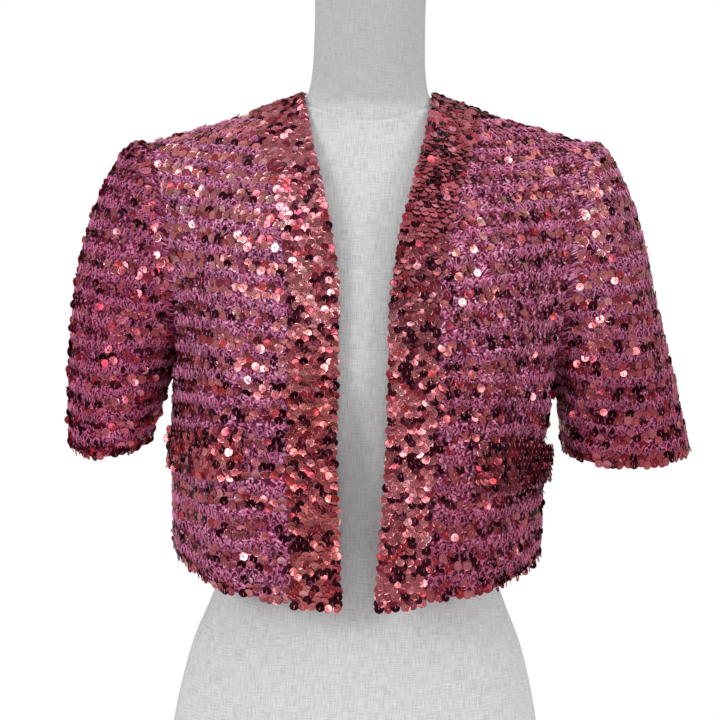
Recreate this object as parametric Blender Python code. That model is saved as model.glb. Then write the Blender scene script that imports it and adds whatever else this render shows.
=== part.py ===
"""An open, collarless, short-sleeved knitted jacket, hung on a limbless dress form.

Each panel of the jacket is a thin closed wall. Its outer face runs through
section rows worked out below from named lines of the garment: the opening
edge, the seam of the edge band, the princess line, the side and armhole, the
centre back, and the top and underarm lines of each sleeve. Sizes are in
millimetres and x grows toward the viewer's right; "left" and "right" in names
are the viewer's, seen from the front, which is -Y.
"""

import math

import bpy
import numpy as np
from mathutils.bvhtree import BVHTree
from mathutils.kdtree import KDTree

MM = 0.001

# The assembly is moved so that the middle of its bounding box is over the origin.
CENTRE_X = 15.5
CENTRE_Y = -4.0

WALL = 2.6            # knit with its sequins sewn on
SEAM_HALF_GAP = 0.16  # each panel stops this far short of a seam line
LEAN = 0.0209         # the jacket hangs a little lower on the left: rise per millimetre across
FORM_CLEARANCE = 2.1  # cloth to dress form
WELT_WALL = 2.6
WELT_GAP = 1.2

# Numbers of cells.
ROWS_BODY = 10      # hem to underarm
ROWS_ARMHOLE = 12   # underarm to shoulder
COLS_BAND = 3
COLS_PANEL = 9      # band seam to side seam, and the same from side seam to back yoke point
COLS_NECK = 4       # back yoke point to centre back
RINGS_SLEEVE = 11

# v runs 0 at the hem, 1 at the underarm, 2 at the shoulder seam.
FRONT_COLUMNS = ("v", "x_open", "y_open", "z_open", "x_princess", "y_princess", "z_princess", "band")
FRONT_ROWS = [
    (0.00, 15.0, -119.0, 234.0, 112.0, -99.0, 243.0, 39.0),
    (0.25, 18.0, -120.0, 284.0, 114.0, -100.0, 287.0, 39.0),
    (0.50, 20.5, -121.0, 331.0, 116.0, -101.0, 332.0, 39.0),
    (0.75, 21.8, -122.0, 379.0, 118.0, -102.0, 378.0, 39.0),
    (1.00, 22.0, -122.5, 426.0, 120.0, -102.0, 423.0, 39.0),
    (1.17, 22.0, -122.0, 472.0, 121.0, -101.0, 466.0, 39.0),
    (1.35, 28.5, -115.0, 528.0, 121.5, -94.0, 512.0, 39.0),
    (1.55, 40.0, -90.0, 580.0, 122.0, -77.0, 560.0, 39.0),
    (1.77, 51.5, -50.0, 627.0, 123.0, -48.0, 606.0, 42.0),
    (1.89, 56.0, -20.0, 654.0, 123.5, -20.0, 633.0, 45.0),
]
NECK_POINT = (58.5, 10.0, 667.0)
SHOULDER_POINT = (191.0, 5.0, 624.0)
SHOULDER_SAG = 2.5    # the seam hangs this far below a straight line there
YOKE_SPLIT = 0.36     # where the band seam meets the shoulder seam, as a share of its length

# The side seam up to v = 1, then the front and back edges of the armhole.
SIDE_COLUMNS = ("v", "x_left", "x_right", "y_front", "y_back", "z_left", "z_right", "z_back_up")
SIDE_ROWS = [
    (0.00, 163.0, 158.0, -4.5, -4.5, 272.0, 262.0, 0.0),
    (0.25, 164.0, 158.5, -4.5, -4.5, 301.0, 298.0, 0.0),
    (0.50, 164.5, 158.5, -4.5, -4.5, 340.0, 334.0, 0.0),
    (0.75, 164.5, 160.5, -4.5, -4.5, 379.0, 369.0, 0.0),
    (1.00, 165.0, 167.0, -4.5, -4.5, 418.0, 402.0, 0.0),
    (1.17, 162.0, 169.0, -42.0, 36.0, 447.0, 436.0, 3.0),
    (1.35, 162.5, 171.0, -55.0, 58.0, 485.0, 478.0, 3.0),
    (1.55, 168.0, 176.0, -53.0, 64.0, 530.0, 527.0, 2.0),
    (1.77, 178.5, 183.5, -42.0, 54.0, 582.0, 581.0, 3.0),
    (1.90, 186.0, 188.0, -23.0, 34.0, 613.0, 612.5, 1.5),
    (2.00, 191.0, 191.0, 5.0, 5.0, 624.0, 624.0, 0.0),
]

BACK_COLUMNS = ("v", "x_blade", "y_blade", "z_blade", "y_centre", "z_centre")
BACK_ROWS = [
    (0.00, 108.0, 88.0, 254.0, 101.0, 250.0),
    (0.25, 110.0, 89.0, 296.0, 102.0, 293.0),
    (0.50, 110.0, 91.0, 338.0, 103.0, 336.0),
    (0.75, 112.0, 93.0, 379.0, 105.0, 378.0),
    (1.00, 114.0, 96.0, 423.0, 107.0, 423.0),
    (1.17, 116.0, 99.0, 465.0, 110.0, 462.0),
    (1.35, 117.0, 99.0, 509.0, 111.0, 500.0),
    (1.55, 116.0, 90.0, 557.0, 106.0, 539.0),
    (1.77, 112.0, 62.0, 611.0, 91.0, 575.0),
    (1.89, 108.5, 36.0, 639.0, 81.5, 589.0),
]
BACK_BAND_SEAM_CENTRE = (0.0, 70.0, 602.0)
BACK_NECK_CENTRE = (0.0, 57.0, 645.0)
BACK_NECK_QUARTER = (46.0, 43.0, 652.0)

# s runs 0 at the armhole, 1 at the sleeve hem; outer line, underarm line, half depths.
SLEEVE_COLUMNS = (
    "s", "x_top_left", "z_top_left", "x_low_left", "z_low_left",
    "x_top_right", "z_top_right", "x_low_right", "z_low_right",
    "depth_left", "depth_right",
)
SLEEVE_ROWS = [
    (0.00, 191.0, 624.0, 165.0, 418.0, 191.0, 624.0, 167.0, 402.0, 60.0, 60.0),
    (0.07, 205.5, 624.5, 167.5, 413.5, 203.5, 623.0, 169.0, 398.5, 61.0, 61.0),
    (0.20, 228.0, 598.0, 170.5, 406.0, 224.0, 597.0, 170.5, 393.0, 63.0, 62.0),
    (0.35, 240.0, 563.0, 174.0, 397.0, 237.5, 563.0, 172.0, 386.0, 65.0, 63.0),
    (0.50, 248.5, 525.0, 177.5, 388.0, 246.5, 526.0, 173.5, 380.0, 66.0, 62.0),
    (0.65, 254.0, 483.0, 180.5, 379.0, 255.0, 484.0, 174.5, 373.0, 66.0, 59.0),
    (0.80, 256.0, 437.0, 183.5, 371.0, 267.0, 437.0, 175.5, 364.0, 66.0, 55.0),
    (0.90, 256.5, 400.0, 185.0, 365.5, 276.5, 397.0, 176.0, 358.0, 66.0, 52.0),
    (1.00, 254.5, 359.0, 187.0, 360.0, 287.5, 352.0, 177.0, 351.0, 65.0, 50.0),
]
SLEEVE_DIP = {"left": (11.0, 5.0), "right": (12.0, 4.0)}  # hem lower at front and back
SLEEVE_SQUARE = 2.2

# The largest folds: piece, middle across, half width across, from and to along,
# depth out of the surface, and how far the middle drifts across on the way.
FOLD_COLUMNS = ("piece", "across", "half_width", "start", "end", "depth", "drift")
FOLDS = [
    ("front_left", 0.30, 0.16, -0.2, 1.20, 2.2, 0.06),
    ("front_left", 0.62, 0.14, -0.1, 0.95, -2.6, -0.05),
    ("front_left", 0.84, 0.10, 0.20, 1.35, 2.4, -0.04),
    ("front_right", 0.26, 0.15, -0.2, 1.05, 2.0, 0.05),
    ("front_right", 0.55, 0.13, -0.1, 1.10, -2.4, 0.06),
    ("front_right", 0.80, 0.11, 0.10, 1.25, 2.6, -0.05),
    ("back", -0.62, 0.10, -0.2, 1.10, 3.2, 0.05),
    ("back", -0.34, 0.12, -0.1, 0.90, -3.4, 0.04),
    ("back", -0.04, 0.13, -0.2, 1.20, 3.0, -0.03),
    ("back", 0.30, 0.11, -0.1, 0.95, -3.0, -0.04),
    ("back", 0.58, 0.10, -0.2, 1.15, 3.4, -0.05),
    ("sleeve_left", 0.33, 0.10, 0.10, 1.30, -6.5, -0.02),
    ("sleeve_left", 0.17, 0.09, 0.15, 1.20, 3.0, 0.02),
    ("sleeve_left", -0.28, 0.10, 0.20, 1.30, -4.0, 0.03),
    ("sleeve_right", 0.36, 0.10, 0.15, 1.30, -4.5, -0.03),
    ("sleeve_right", 0.20, 0.09, 0.20, 1.30, 3.0, 0.03),
    ("sleeve_right", -0.30, 0.11, 0.15, 1.30, -4.0, 0.03),
]

# Pocket welts on the lower fronts: from and to across, and v of the lower and upper edge.
WELTS = {
    "left": {"u": (0.215, 0.870), "low": (0.505, 0.490), "high": (0.730, 0.705), "flare": 0.0},
    "right": {"u": (0.205, 0.985), "low": (0.455, 0.455), "high": (0.670, 0.660), "flare": 5.0},
}

# Dress form, smooth and whole: height, half width, depth in front and behind, squareness.
FORM_COLUMNS = ("z", "half_width", "front", "back", "square")
FORM_ROWS = [
    (0.0, 155.0, 91.0, 106.0, 2.25),
    (40.0, 158.5, 95.0, 112.0, 2.25),
    (85.0, 162.0, 98.0, 116.0, 2.25),
    (122.0, 157.5, 96.0, 114.0, 2.2),
    (150.0, 152.0, 93.0, 109.0, 2.2),
    (184.0, 143.0, 89.0, 100.0, 2.2),
    (219.0, 129.0, 85.0, 88.0, 2.15),
    (250.0, 118.0, 83.0, 79.0, 2.15),
    (285.0, 112.0, 83.0, 74.0, 2.15),
    (330.0, 117.0, 91.0, 76.0, 2.15),
    (380.0, 129.0, 103.0, 82.0, 2.2),
    (430.0, 140.0, 112.0, 89.0, 2.25),
    (470.0, 145.0, 112.0, 93.0, 2.25),
    (510.0, 146.0, 104.0, 93.0, 2.25),
    (545.0, 151.0, 91.0, 87.0, 2.1),
    (575.0, 168.0, 77.0, 76.0, 1.75),
    (592.0, 177.0, 69.0, 70.0, 1.48),
    (604.0, 177.0, 63.0, 66.0, 1.33),
    (615.0, 163.0, 58.0, 62.0, 1.23),
    (626.0, 136.0, 53.0, 58.0, 1.22),
    (636.0, 106.0, 49.0, 54.0, 1.32),
    (646.0, 77.0, 47.0, 50.0, 1.55),
    (655.0, 60.0, 46.0, 48.0, 1.85),
    (664.0, 53.0, 45.5, 47.0, 1.97),
    (676.0, 50.5, 45.0, 46.0, 2.0),
    (694.0, 49.0, 45.0, 45.5, 2.0),
    (730.0, 48.5, 44.5, 45.0, 2.0),
    (764.0, 49.0, 45.0, 45.5, 2.0),
    (771.0, 47.5, 43.5, 44.0, 2.0),
    (775.0, 43.5, 39.5, 40.0, 2.0),
]
FORM_SEGMENTS = 32

COLOURS = {
    "panel": ((0.33, 0.10, 0.20, 1.0), 0.55, 0.25),
    "band": ((0.42, 0.17, 0.16, 1.0), 0.35, 0.60),
    "form": ((0.74, 0.74, 0.73, 1.0), 0.90, 0.0),
}


# ---------------------------------------------------------------- interpolation

def smooth_column(rows, names, name, at):
    """Monotone cubic through one named column of a table, read at one place."""
    xs = np.array([row[0] for row in rows], float)
    ys = np.array([row[names.index(name)] for row in rows], float)
    h = np.diff(xs)
    slope = np.diff(ys) / h
    tangent = np.zeros(len(xs))
    for i in range(1, len(xs) - 1):
        if slope[i - 1] * slope[i] > 0:
            w1 = 2 * h[i] + h[i - 1]
            w2 = h[i] + 2 * h[i - 1]
            tangent[i] = (w1 + w2) / (w1 / slope[i - 1] + w2 / slope[i])
    tangent[0], tangent[-1] = slope[0], slope[-1]
    at = min(max(at, xs[0]), xs[-1])
    i = min(int(np.searchsorted(xs, at, side="right")) - 1, len(h) - 1)
    t = (at - xs[i]) / h[i]
    return float(
        ys[i] * (1 + 2 * t) * (1 - t) ** 2
        + h[i] * tangent[i] * t * (1 - t) ** 2
        + ys[i + 1] * t * t * (3 - 2 * t)
        + h[i] * tangent[i + 1] * t * t * (t - 1)
    )


def smoothstep(t):
    t = min(max(t, 0.0), 1.0)
    return t * t * (3 - 2 * t)


def lerp(a, b, t):
    return np.asarray(a, float) * (1 - t) + np.asarray(b, float) * t


def unit(vector):
    vector = np.asarray(vector, float)
    return vector / max(np.linalg.norm(vector), 1e-12)


def hermite(start, end, start_slope, end_slope, count=48):
    """Cubic from start to end with slopes per unit of chord."""
    length = np.linalg.norm(np.subtract(end, start))
    t = np.linspace(0, 1, count)[:, None]
    return (
        np.asarray(start) * (1 + 2 * t) * (1 - t) ** 2
        + length * np.asarray(start_slope) * t * (1 - t) ** 2
        + np.asarray(end) * t * t * (3 - 2 * t)
        + length * np.asarray(end_slope) * t * t * (t - 1)
    )


def through(a, b, c):
    """Slope at b of the parabola through a, b and c, per unit of chord."""
    h1 = np.linalg.norm(b - a)
    h2 = np.linalg.norm(c - b)
    return ((c - b) / h2 * h1 + (b - a) / h1 * h2) / (h1 + h2)


def along(curve, lengths):
    """Points of a dense polyline at these lengths from its start."""
    steps = np.linalg.norm(np.diff(curve, axis=0), axis=1)
    total = np.concatenate([[0.0], np.cumsum(steps)])
    lengths = np.asarray(lengths, float)
    return np.stack([np.interp(lengths, total, curve[:, k]) for k in range(3)], axis=1)


def length_of(curve):
    return float(np.linalg.norm(np.diff(curve, axis=0), axis=1).sum())


# ---------------------------------------------------------------- garment lines

def side_point(side, face, v):
    """The side seam below the underarm, then one edge of the armhole."""
    read = lambda name: smooth_column(SIDE_ROWS, SIDE_COLUMNS, name, v)
    z = read("z_" + side)
    if face == "back":
        z += read("z_back_up")
    return np.array([read("x_" + side), read("y_" + face), z])


def shoulder_line(t):
    """The shoulder seam from the neck point (t = 0) to the shoulder point (t = 1)."""
    split = lerp(NECK_POINT, SHOULDER_POINT, YOKE_SPLIT) - np.array([0, 0, SHOULDER_SAG])
    if t <= YOKE_SPLIT:
        return lerp(NECK_POINT, split, t / YOKE_SPLIT)
    return lerp(split, SHOULDER_POINT, (t - YOKE_SPLIT) / (1 - YOKE_SPLIT))


def front_curve(side, v):
    """One section row of the front, from the opening edge to the side, x outward."""
    edge = side_point(side, "front", v)
    top = smoothstep((v - 1.62) / 0.38)
    if v >= 2:
        return np.array([shoulder_line(t) for t in np.linspace(0, 1, 101)])
    names = ("x_open", "y_open", "z_open", "x_princess", "y_princess", "z_princess")
    ends = {
        "x_open": NECK_POINT[0], "y_open": NECK_POINT[1], "z_open": NECK_POINT[2],
    }
    ends.update(zip(names[3:], shoulder_line(0.5)))
    values = []
    for name in names:
        rows = [(row[0], row[FRONT_COLUMNS.index(name)]) for row in FRONT_ROWS]
        rows.append((2.0, ends[name]))
        values.append(smooth_column(rows, ("v", name), name, v))
    opening, princess = np.array(values[:3]), np.array(values[3:])
    if side == "right":
        princess = princess + np.array([edge[0] - side_point("left", "front", v)[0], 0, 0]) * 0.5
    armhole = smoothstep((v - 1.0) / 0.3)
    seam = unit(np.subtract(SHOULDER_POINT, NECK_POINT))
    start = unit(lerp((1.0, 0.04, 0.0), (1.0, -0.12, -0.15), smoothstep((v - 1.1) / 0.7)))
    end = unit(lerp((0.0, 1.0, 0.0), (0.80, 0.60, -0.05), armhole))
    start, end = unit(lerp(start, seam, top)), unit(lerp(end, seam, top))
    middle = lerp(through(opening, princess, edge), seam, top)
    return np.concatenate([
        hermite(opening, princess, start, middle),
        hermite(princess, edge, middle, end)[1:],
    ])


def band_width(v):
    rows = [(row[0], row[-1]) for row in FRONT_ROWS]
    rows.append((2.0, np.linalg.norm(shoulder_line(YOKE_SPLIT) - np.asarray(NECK_POINT))))
    return smooth_column(rows, ("v", "band"), "band", v)


def mirror(points, side):
    points = np.array(points, float)
    if side == "left":
        points[:, 0] *= -1
    return points


def band_row(side, v, count):
    """Across the edge band, from the opening to the band seam."""
    curve = front_curve(side, v)
    return mirror(along(curve, np.linspace(0, band_width(v), count + 1)), side)


def panel_row(side, v, fractions):
    """Across the front panel, 0 at the band seam and 1 at the side."""
    curve = front_curve(side, v)
    first, last = band_width(v), length_of(curve)
    return mirror(along(curve, first + (last - first) * np.asarray(fractions)), side)


def back_curves(side, v):
    """One section row of half the back: side to blade line, blade line to centre."""
    edge = side_point(side, "back", v)
    split = shoulder_line(YOKE_SPLIT)
    ends = {
        "x_blade": split[0], "y_blade": split[1], "z_blade": split[2],
        "y_centre": BACK_BAND_SEAM_CENTRE[1], "z_centre": BACK_BAND_SEAM_CENTRE[2],
    }
    values = {}
    for name, last in ends.items():
        rows = [(row[0], row[BACK_COLUMNS.index(name)]) for row in BACK_ROWS]
        rows.append((2.0, last))
        values[name] = smooth_column(rows, ("v", name), name, v)
    blade = np.array([values["x_blade"], values["y_blade"], values["z_blade"]])
    centre = np.array([0.0, values["y_centre"], values["z_centre"]])
    armhole = smoothstep((v - 1.0) / 0.3)
    top = smoothstep((v - 1.62) / 0.38)
    seam = unit(split - np.asarray(SHOULDER_POINT))
    start = unit(lerp((0.0, 1.0, 0.0), (-0.72, 0.68, 0.10), armhole))
    start = unit(lerp(start, seam, top))
    middle = through(edge, blade, centre)
    before = lerp(middle, seam, top)
    after = lerp(middle, unit((-0.42, 0.74, -0.52)), top)
    return (
        hermite(edge, blade, start, before),
        hermite(blade, centre, after, (-1.0, 0.0, 0.0)),
    )


def back_row(v, outer, inner):
    """Across the back from the left side to the right; outer and inner are cell counts."""
    halves = {}
    for side in ("left", "right"):
        first, second = back_curves(side, v)
        a = along(first, np.linspace(0, length_of(first), outer + 1))
        b = along(second, np.linspace(0, length_of(second), inner + 1))
        halves[side] = mirror(np.concatenate([a, b[1:]]), side)
    return np.concatenate([halves["left"], halves["right"][-2::-1]])


def neck_edge(count):
    """Back neck edge from the left neck point to the right, by length."""
    a, b, c = (np.array(p, float) for p in (NECK_POINT, BACK_NECK_QUARTER, BACK_NECK_CENTRE))
    middle = through(a, b, c)
    curve = np.concatenate([
        hermite(a, b, unit((0.08, 0.95, -0.35)), middle),
        hermite(b, c, middle, (-1.0, 0.0, 0.0))[1:],
    ])
    half = along(curve, np.linspace(0, length_of(curve), count + 1))
    return np.concatenate([mirror(half, "left"), half[-2::-1]])


def neck_band_grid(across, half_count):
    """Back neck band: rows from the neck edge to the seam with the back."""
    seam = back_row(2.0, COLS_PANEL, half_count)[COLS_PANEL:-COLS_PANEL]
    edge = neck_edge(half_count)
    rows = []
    for t in np.linspace(0, 1, across + 1):
        lift = np.array([0.0, 2.2, 1.2]) * math.sin(math.pi * t)
        shape = np.sin(np.linspace(0, math.pi, len(seam)))[:, None]
        rows.append(edge * (1 - t) + seam * t + lift * shape)
    return np.array(rows)


def armhole_levels(count):
    """v from the underarm to the shoulder, closer together at both ends."""
    t = np.linspace(0, 1, count + 1)
    return 1 + t - 0.06 * np.sin(2 * math.pi * t)


def armhole_loop(side, count):
    """Round the armhole: shoulder point, down the front, underarm, up the back."""
    levels = armhole_levels(count)
    down = [side_point(side, "front", v) for v in levels[::-1]]
    up = [side_point(side, "back", v) for v in levels]
    return np.array(down + up[1:-1])


def sleeve_ring(side, s, count, loop):
    """One ring of a sleeve, x outward, in the armhole's order of points."""
    read = lambda name: smooth_column(SLEEVE_ROWS, SLEEVE_COLUMNS, name, s)
    top = np.array([read("x_top_" + side), 0.0, read("z_top_" + side)])
    low = np.array([read("x_low_" + side), 0.0, read("z_low_" + side)])
    depth = read("depth_" + side)
    y_middle = 5.0 * (1 - s)
    dense = np.linspace(0, math.pi, 181)
    power = 2.0 / SLEEVE_SQUARE
    ring = []
    for sign, dip in ((-1, SLEEVE_DIP[side][0]), (1, SLEEVE_DIP[side][1])):
        c, n = np.cos(dense), np.sin(dense)
        c = np.sign(c) * np.abs(c) ** power
        n = np.abs(n) ** power
        arc = (top + low) / 2 + c[:, None] * (top - low) / 2
        arc[:, 1] = y_middle + sign * depth * n
        arc[:, 2] -= dip * smoothstep((s - 0.45) / 0.55) * n * n
        part = along(arc, np.linspace(0, length_of(arc), count + 1))
        ring.append(part if sign < 0 else part[::-1][1:-1])
    ring = np.concatenate(ring)
    if s <= 0:
        return loop
    first_top = np.array([SLEEVE_ROWS[0][1 if side == "left" else 5], 0, SLEEVE_ROWS[0][2 if side == "left" else 6]])
    first_low = np.array([SLEEVE_ROWS[0][3 if side == "left" else 7], 0, SLEEVE_ROWS[0][4 if side == "left" else 8]])
    share = (loop[:, 2] - first_low[2]) / (first_top[2] - first_low[2])
    moved = loop + share[:, None] * (top - first_top) + (1 - share[:, None]) * (low - first_low)
    crown = 3.0 * math.sin(math.pi * min(s / 0.3, 1.0))
    outward = loop - loop.mean(axis=0)
    outward[:, 0] = 0
    outward /= np.linalg.norm(outward, axis=1)[:, None]
    moved = moved + outward * crown * np.clip(share, 0, 1)[:, None]
    mix = smoothstep(s / 0.62)
    return moved * (1 - mix) + ring * mix


# ---------------------------------------------------------------- folds

def fold_depth(piece, across, along_v, wrap=None):
    """How far the largest folds move a place out of the surface."""
    depth = 0.0
    for name, middle, half_width, start, end, out, drift in FOLDS:
        if name != piece:
            continue
        t = (along_v - start) / (end - start)
        if not 0 < t < 1:
            continue
        gap = across - (middle + drift * (t - 0.5))
        if wrap:
            gap = (gap + wrap / 2) % wrap - wrap / 2
        depth += out * math.exp(-((gap / half_width) ** 2) * 2) * math.sin(math.pi * t)
    return depth


def grid_normals(grid, closed=False):
    """Unit normals of a grid of points, by central differences."""
    if closed:
        d_col = np.roll(grid, -1, axis=1) - np.roll(grid, 1, axis=1)
    else:
        d_col = np.gradient(grid, axis=1)
    d_row = np.gradient(grid, axis=0)
    normal = np.cross(d_col, d_row)
    return normal / np.maximum(np.linalg.norm(normal, axis=2), 1e-9)[:, :, None]


def add_folds(piece, grid, across, along_v, closed=False, outward=1.0):
    normal = grid_normals(grid, closed) * outward
    out = grid.copy()
    for i, v in enumerate(along_v):
        for j, u in enumerate(across):
            edge = 1.0
            if not closed:
                edge = smoothstep((u - across[0]) / 0.12) * smoothstep((across[-1] - u) / 0.12)
            out[i, j] += normal[i, j] * fold_depth(piece, u, v, 1.0 if closed else None) * edge
    return out


# ---------------------------------------------------------------- the panels' outer faces

def body_levels():
    low = np.linspace(0, 1, ROWS_BODY + 1)
    return np.concatenate([low, armhole_levels(ROWS_ARMHOLE)[1:]])


def outer_grids():
    """Outer face of every jacket panel: rows of points, and which edges are sewn."""
    levels = body_levels()
    grids = {}
    for side in ("left", "right"):
        band = np.array([band_row(side, v, COLS_BAND) for v in levels])
        band[0, :, 2] -= 5.0 * np.linspace(1, 0.55, COLS_BAND + 1)
        grids["band_front_" + side] = (band, False, {"u1", "v1"})
        across = np.linspace(0, 1, COLS_PANEL + 1)
        panel = np.array([panel_row(side, v, across) for v in levels])
        panel = add_folds("front_" + side, panel, across, levels, outward=1.0 if side == "right" else -1.0)
        grids["front_" + side] = (panel, False, {"u0", "u1", "v1"})
    back = np.array([back_row(v, COLS_PANEL, COLS_NECK) for v in levels])
    across = np.linspace(-1, 1, back.shape[1])
    grids["back"] = (add_folds("back", back, across, levels, outward=-1.0), False, {"u0", "u1", "v1"})
    grids["band_neck"] = (neck_band_grid(COLS_BAND, COLS_NECK), False, {"u0", "u1", "v1"})
    for side in ("left", "right"):
        loop = armhole_loop(side, ROWS_ARMHOLE)
        spaced = np.linspace(0, 1, RINGS_SLEEVE + 1)
        spaced = 0.62 * spaced + 0.38 * spaced**2
        rings = np.array([sleeve_ring(side, s, ROWS_ARMHOLE, loop) for s in spaced])
        across = np.arange(rings.shape[1]) / rings.shape[1]
        rings = add_folds("sleeve_" + side, rings, across, spaced, closed=True, outward=-1.0)
        if side == "left":
            rings[:, :, 0] *= -1
        grids["sleeve_" + side] = (rings, True, {"v0"})
    return grids


def leaned(grid):
    """The jacket's own points, turned by the lean."""
    out = grid.copy()
    out[..., 2] += LEAN * out[..., 0]
    return out


def clear_of_form(grid, tree, distance):
    """Moves points out along the form's own normals until they are this far off it."""
    for index in np.ndindex(grid.shape[:2]):
        point = grid[index]
        near, normal, _, _ = tree.find_nearest(tuple(point))
        gap = float(np.dot(point - np.array(near), np.array(normal)))
        if gap < distance and np.linalg.norm(point - np.array(near)) < 60:
            grid[index] = point + np.array(normal) * (distance - gap)


def welded_keys(grids):
    """One number for each place, the same for points of two pieces that meet there."""
    total = sum(grid.shape[0] * grid.shape[1] for grid, _, _ in grids.values())
    tree = KDTree(total)
    count = 0
    for grid, _, _ in grids.values():
        for point in grid.reshape(-1, 3):
            tree.insert(tuple(point), count)
            count += 1
    tree.balance()
    keys = {}
    for name, (grid, _, _) in grids.items():
        found = [min(k for _, k, _ in tree.find_range(tuple(point), 0.1)) for point in grid.reshape(-1, 3)]
        keys[name] = np.array(found).reshape(grid.shape[:2])
    return keys


def shared_normals(grids):
    """A normal for each point, the same on both pieces where they meet at a seam."""
    sums = {}
    keys = welded_keys(grids)
    for name, (grid, closed, _) in grids.items():
        rows, cols = grid.shape[:2]
        centre = grid.reshape(-1, 3).mean(axis=0)
        flip = 1.0
        total = 0.0
        faces = []
        for i in range(rows - 1):
            for j in range(cols if closed else cols - 1):
                k = (j + 1) % cols
                a, b, c, d = grid[i, j], grid[i, k], grid[i + 1, k], grid[i + 1, j]
                area = np.cross(c - a, d - b)
                faces.append(((i, j), (i, k), (i + 1, k), (i + 1, j), area))
                middle = (a + b + c + d) / 4
                axis = np.array([centre[0], centre[1], middle[2]]) if closed else np.array([0.0, 0.0, middle[2] - 60.0 * (middle[2] > 560)])
                total += float(np.dot(area, middle - axis))
        flip = 1.0 if total > 0 else -1.0
        for *corners, area in faces:
            for i, j in corners:
                key = keys[name][i][j]
                sums[key] = sums.get(key, 0.0) + area * flip
    normals = {}
    for name, rows in keys.items():
        normals[name] = np.array([[unit(sums[key]) for key in row] for row in rows])
    return normals


def pulled_back(grid, closed, seams):
    """The same grid, with its sewn edges drawn in a little from the seam lines."""
    out = grid.copy()

    def draw(edge, inner):
        step = inner - edge
        return edge + step / np.maximum(np.linalg.norm(step, axis=-1), 1e-9)[..., None] * SEAM_HALF_GAP

    if "v0" in seams:
        out[0] = draw(out[0], out[1])
    if "v1" in seams:
        out[-1] = draw(out[-1], out[-2])
    if "u0" in seams:
        out[:, 0] = draw(out[:, 0], out[:, 1])
    if "u1" in seams:
        out[:, -1] = draw(out[:, -1], out[:, -2])
    return out


def wall_mesh(outer, inner, closed):
    """Closed wall between two grids of the same size: points and quads."""
    rows, cols = outer.shape[:2]
    points = np.concatenate([outer.reshape(-1, 3), inner.reshape(-1, 3)])
    half = rows * cols
    at = lambda i, j, layer=0: layer * half + i * cols + (j % cols)
    faces = []

    def rim(a, b):
        """The edge wall from a to b, cut the same way on both pieces of a seam."""
        low, high = points[a], points[b]
        if np.dot(low, (0.37, 0.11, 1.0)) < np.dot(high, (0.37, 0.11, 1.0)):
            faces.extend([(a, b, b + half), (a, b + half, a + half)])
        else:
            faces.extend([(a, b, a + half), (b, b + half, a + half)])

    span = cols if closed else cols - 1
    for i in range(rows - 1):
        for j in range(span):
            faces.append((at(i, j), at(i, j + 1), at(i + 1, j + 1), at(i + 1, j)))
            faces.append((at(i, j, 1), at(i + 1, j, 1), at(i + 1, j + 1, 1), at(i, j + 1, 1)))
    for j in range(span):
        rim(at(0, j + 1), at(0, j))
        rim(at(rows - 1, j), at(rows - 1, j + 1))
    if not closed:
        for i in range(rows - 1):
            rim(at(i, 0), at(i + 1, 0))
            rim(at(i + 1, cols - 1), at(i, cols - 1))
    return points, faces


def signed_volume(points, faces):
    total = 0.0
    for face in faces:
        a = points[face[0]]
        for k in range(1, len(face) - 1):
            total += float(np.dot(a, np.cross(points[face[k]], points[face[k + 1]])))
    return total / 6


# ---------------------------------------------------------------- pocket welts

def welt_grids(side):
    """A strip on the panel's own points, moved out of it; it stands off more toward the side."""
    welt = WELTS[side]
    cols, rows = 7, 3
    fractions = np.linspace(welt["u"][0], welt["u"][1], cols + 1)
    low = np.linspace(welt["low"][0], welt["low"][1], cols + 1)
    high = np.linspace(welt["high"][0], welt["high"][1], cols + 1)
    base = np.zeros((rows + 1, cols + 1, 3))
    normal = np.zeros_like(base)
    name = "front_" + side
    sign = 1.0 if side == "right" else -1.0
    for i in range(rows + 1):
        for j, u in enumerate(fractions):
            v = low[j] + (high[j] - low[j]) * i / rows
            patch = np.array([
                panel_row(side, w, (u - 0.03, u, min(u + 0.03, 1.0))) for w in (v - 0.05, v, v + 0.05)
            ])
            across = (u - 0.03, u, u + 0.03)
            n = unit(np.cross(patch[1, 2] - patch[1, 0], patch[2, 1] - patch[0, 1])) * sign
            edge = smoothstep(u / 0.12) * smoothstep((1 - u) / 0.12)
            base[i, j] = patch[1, 1] + n * fold_depth(name, across[1], v) * edge
            normal[i, j] = n
    out = WELT_GAP + welt["flare"] * np.linspace(0, 1, cols + 1) ** 2
    lean = np.linspace(0.6, 1.0, rows + 1)
    offset = (out[None, :] - WELT_GAP) * lean[:, None] + WELT_GAP
    inner = base + normal * offset[:, :, None]
    outer = inner + normal * WELT_WALL
    return outer, inner


# ---------------------------------------------------------------- dress form

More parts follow.
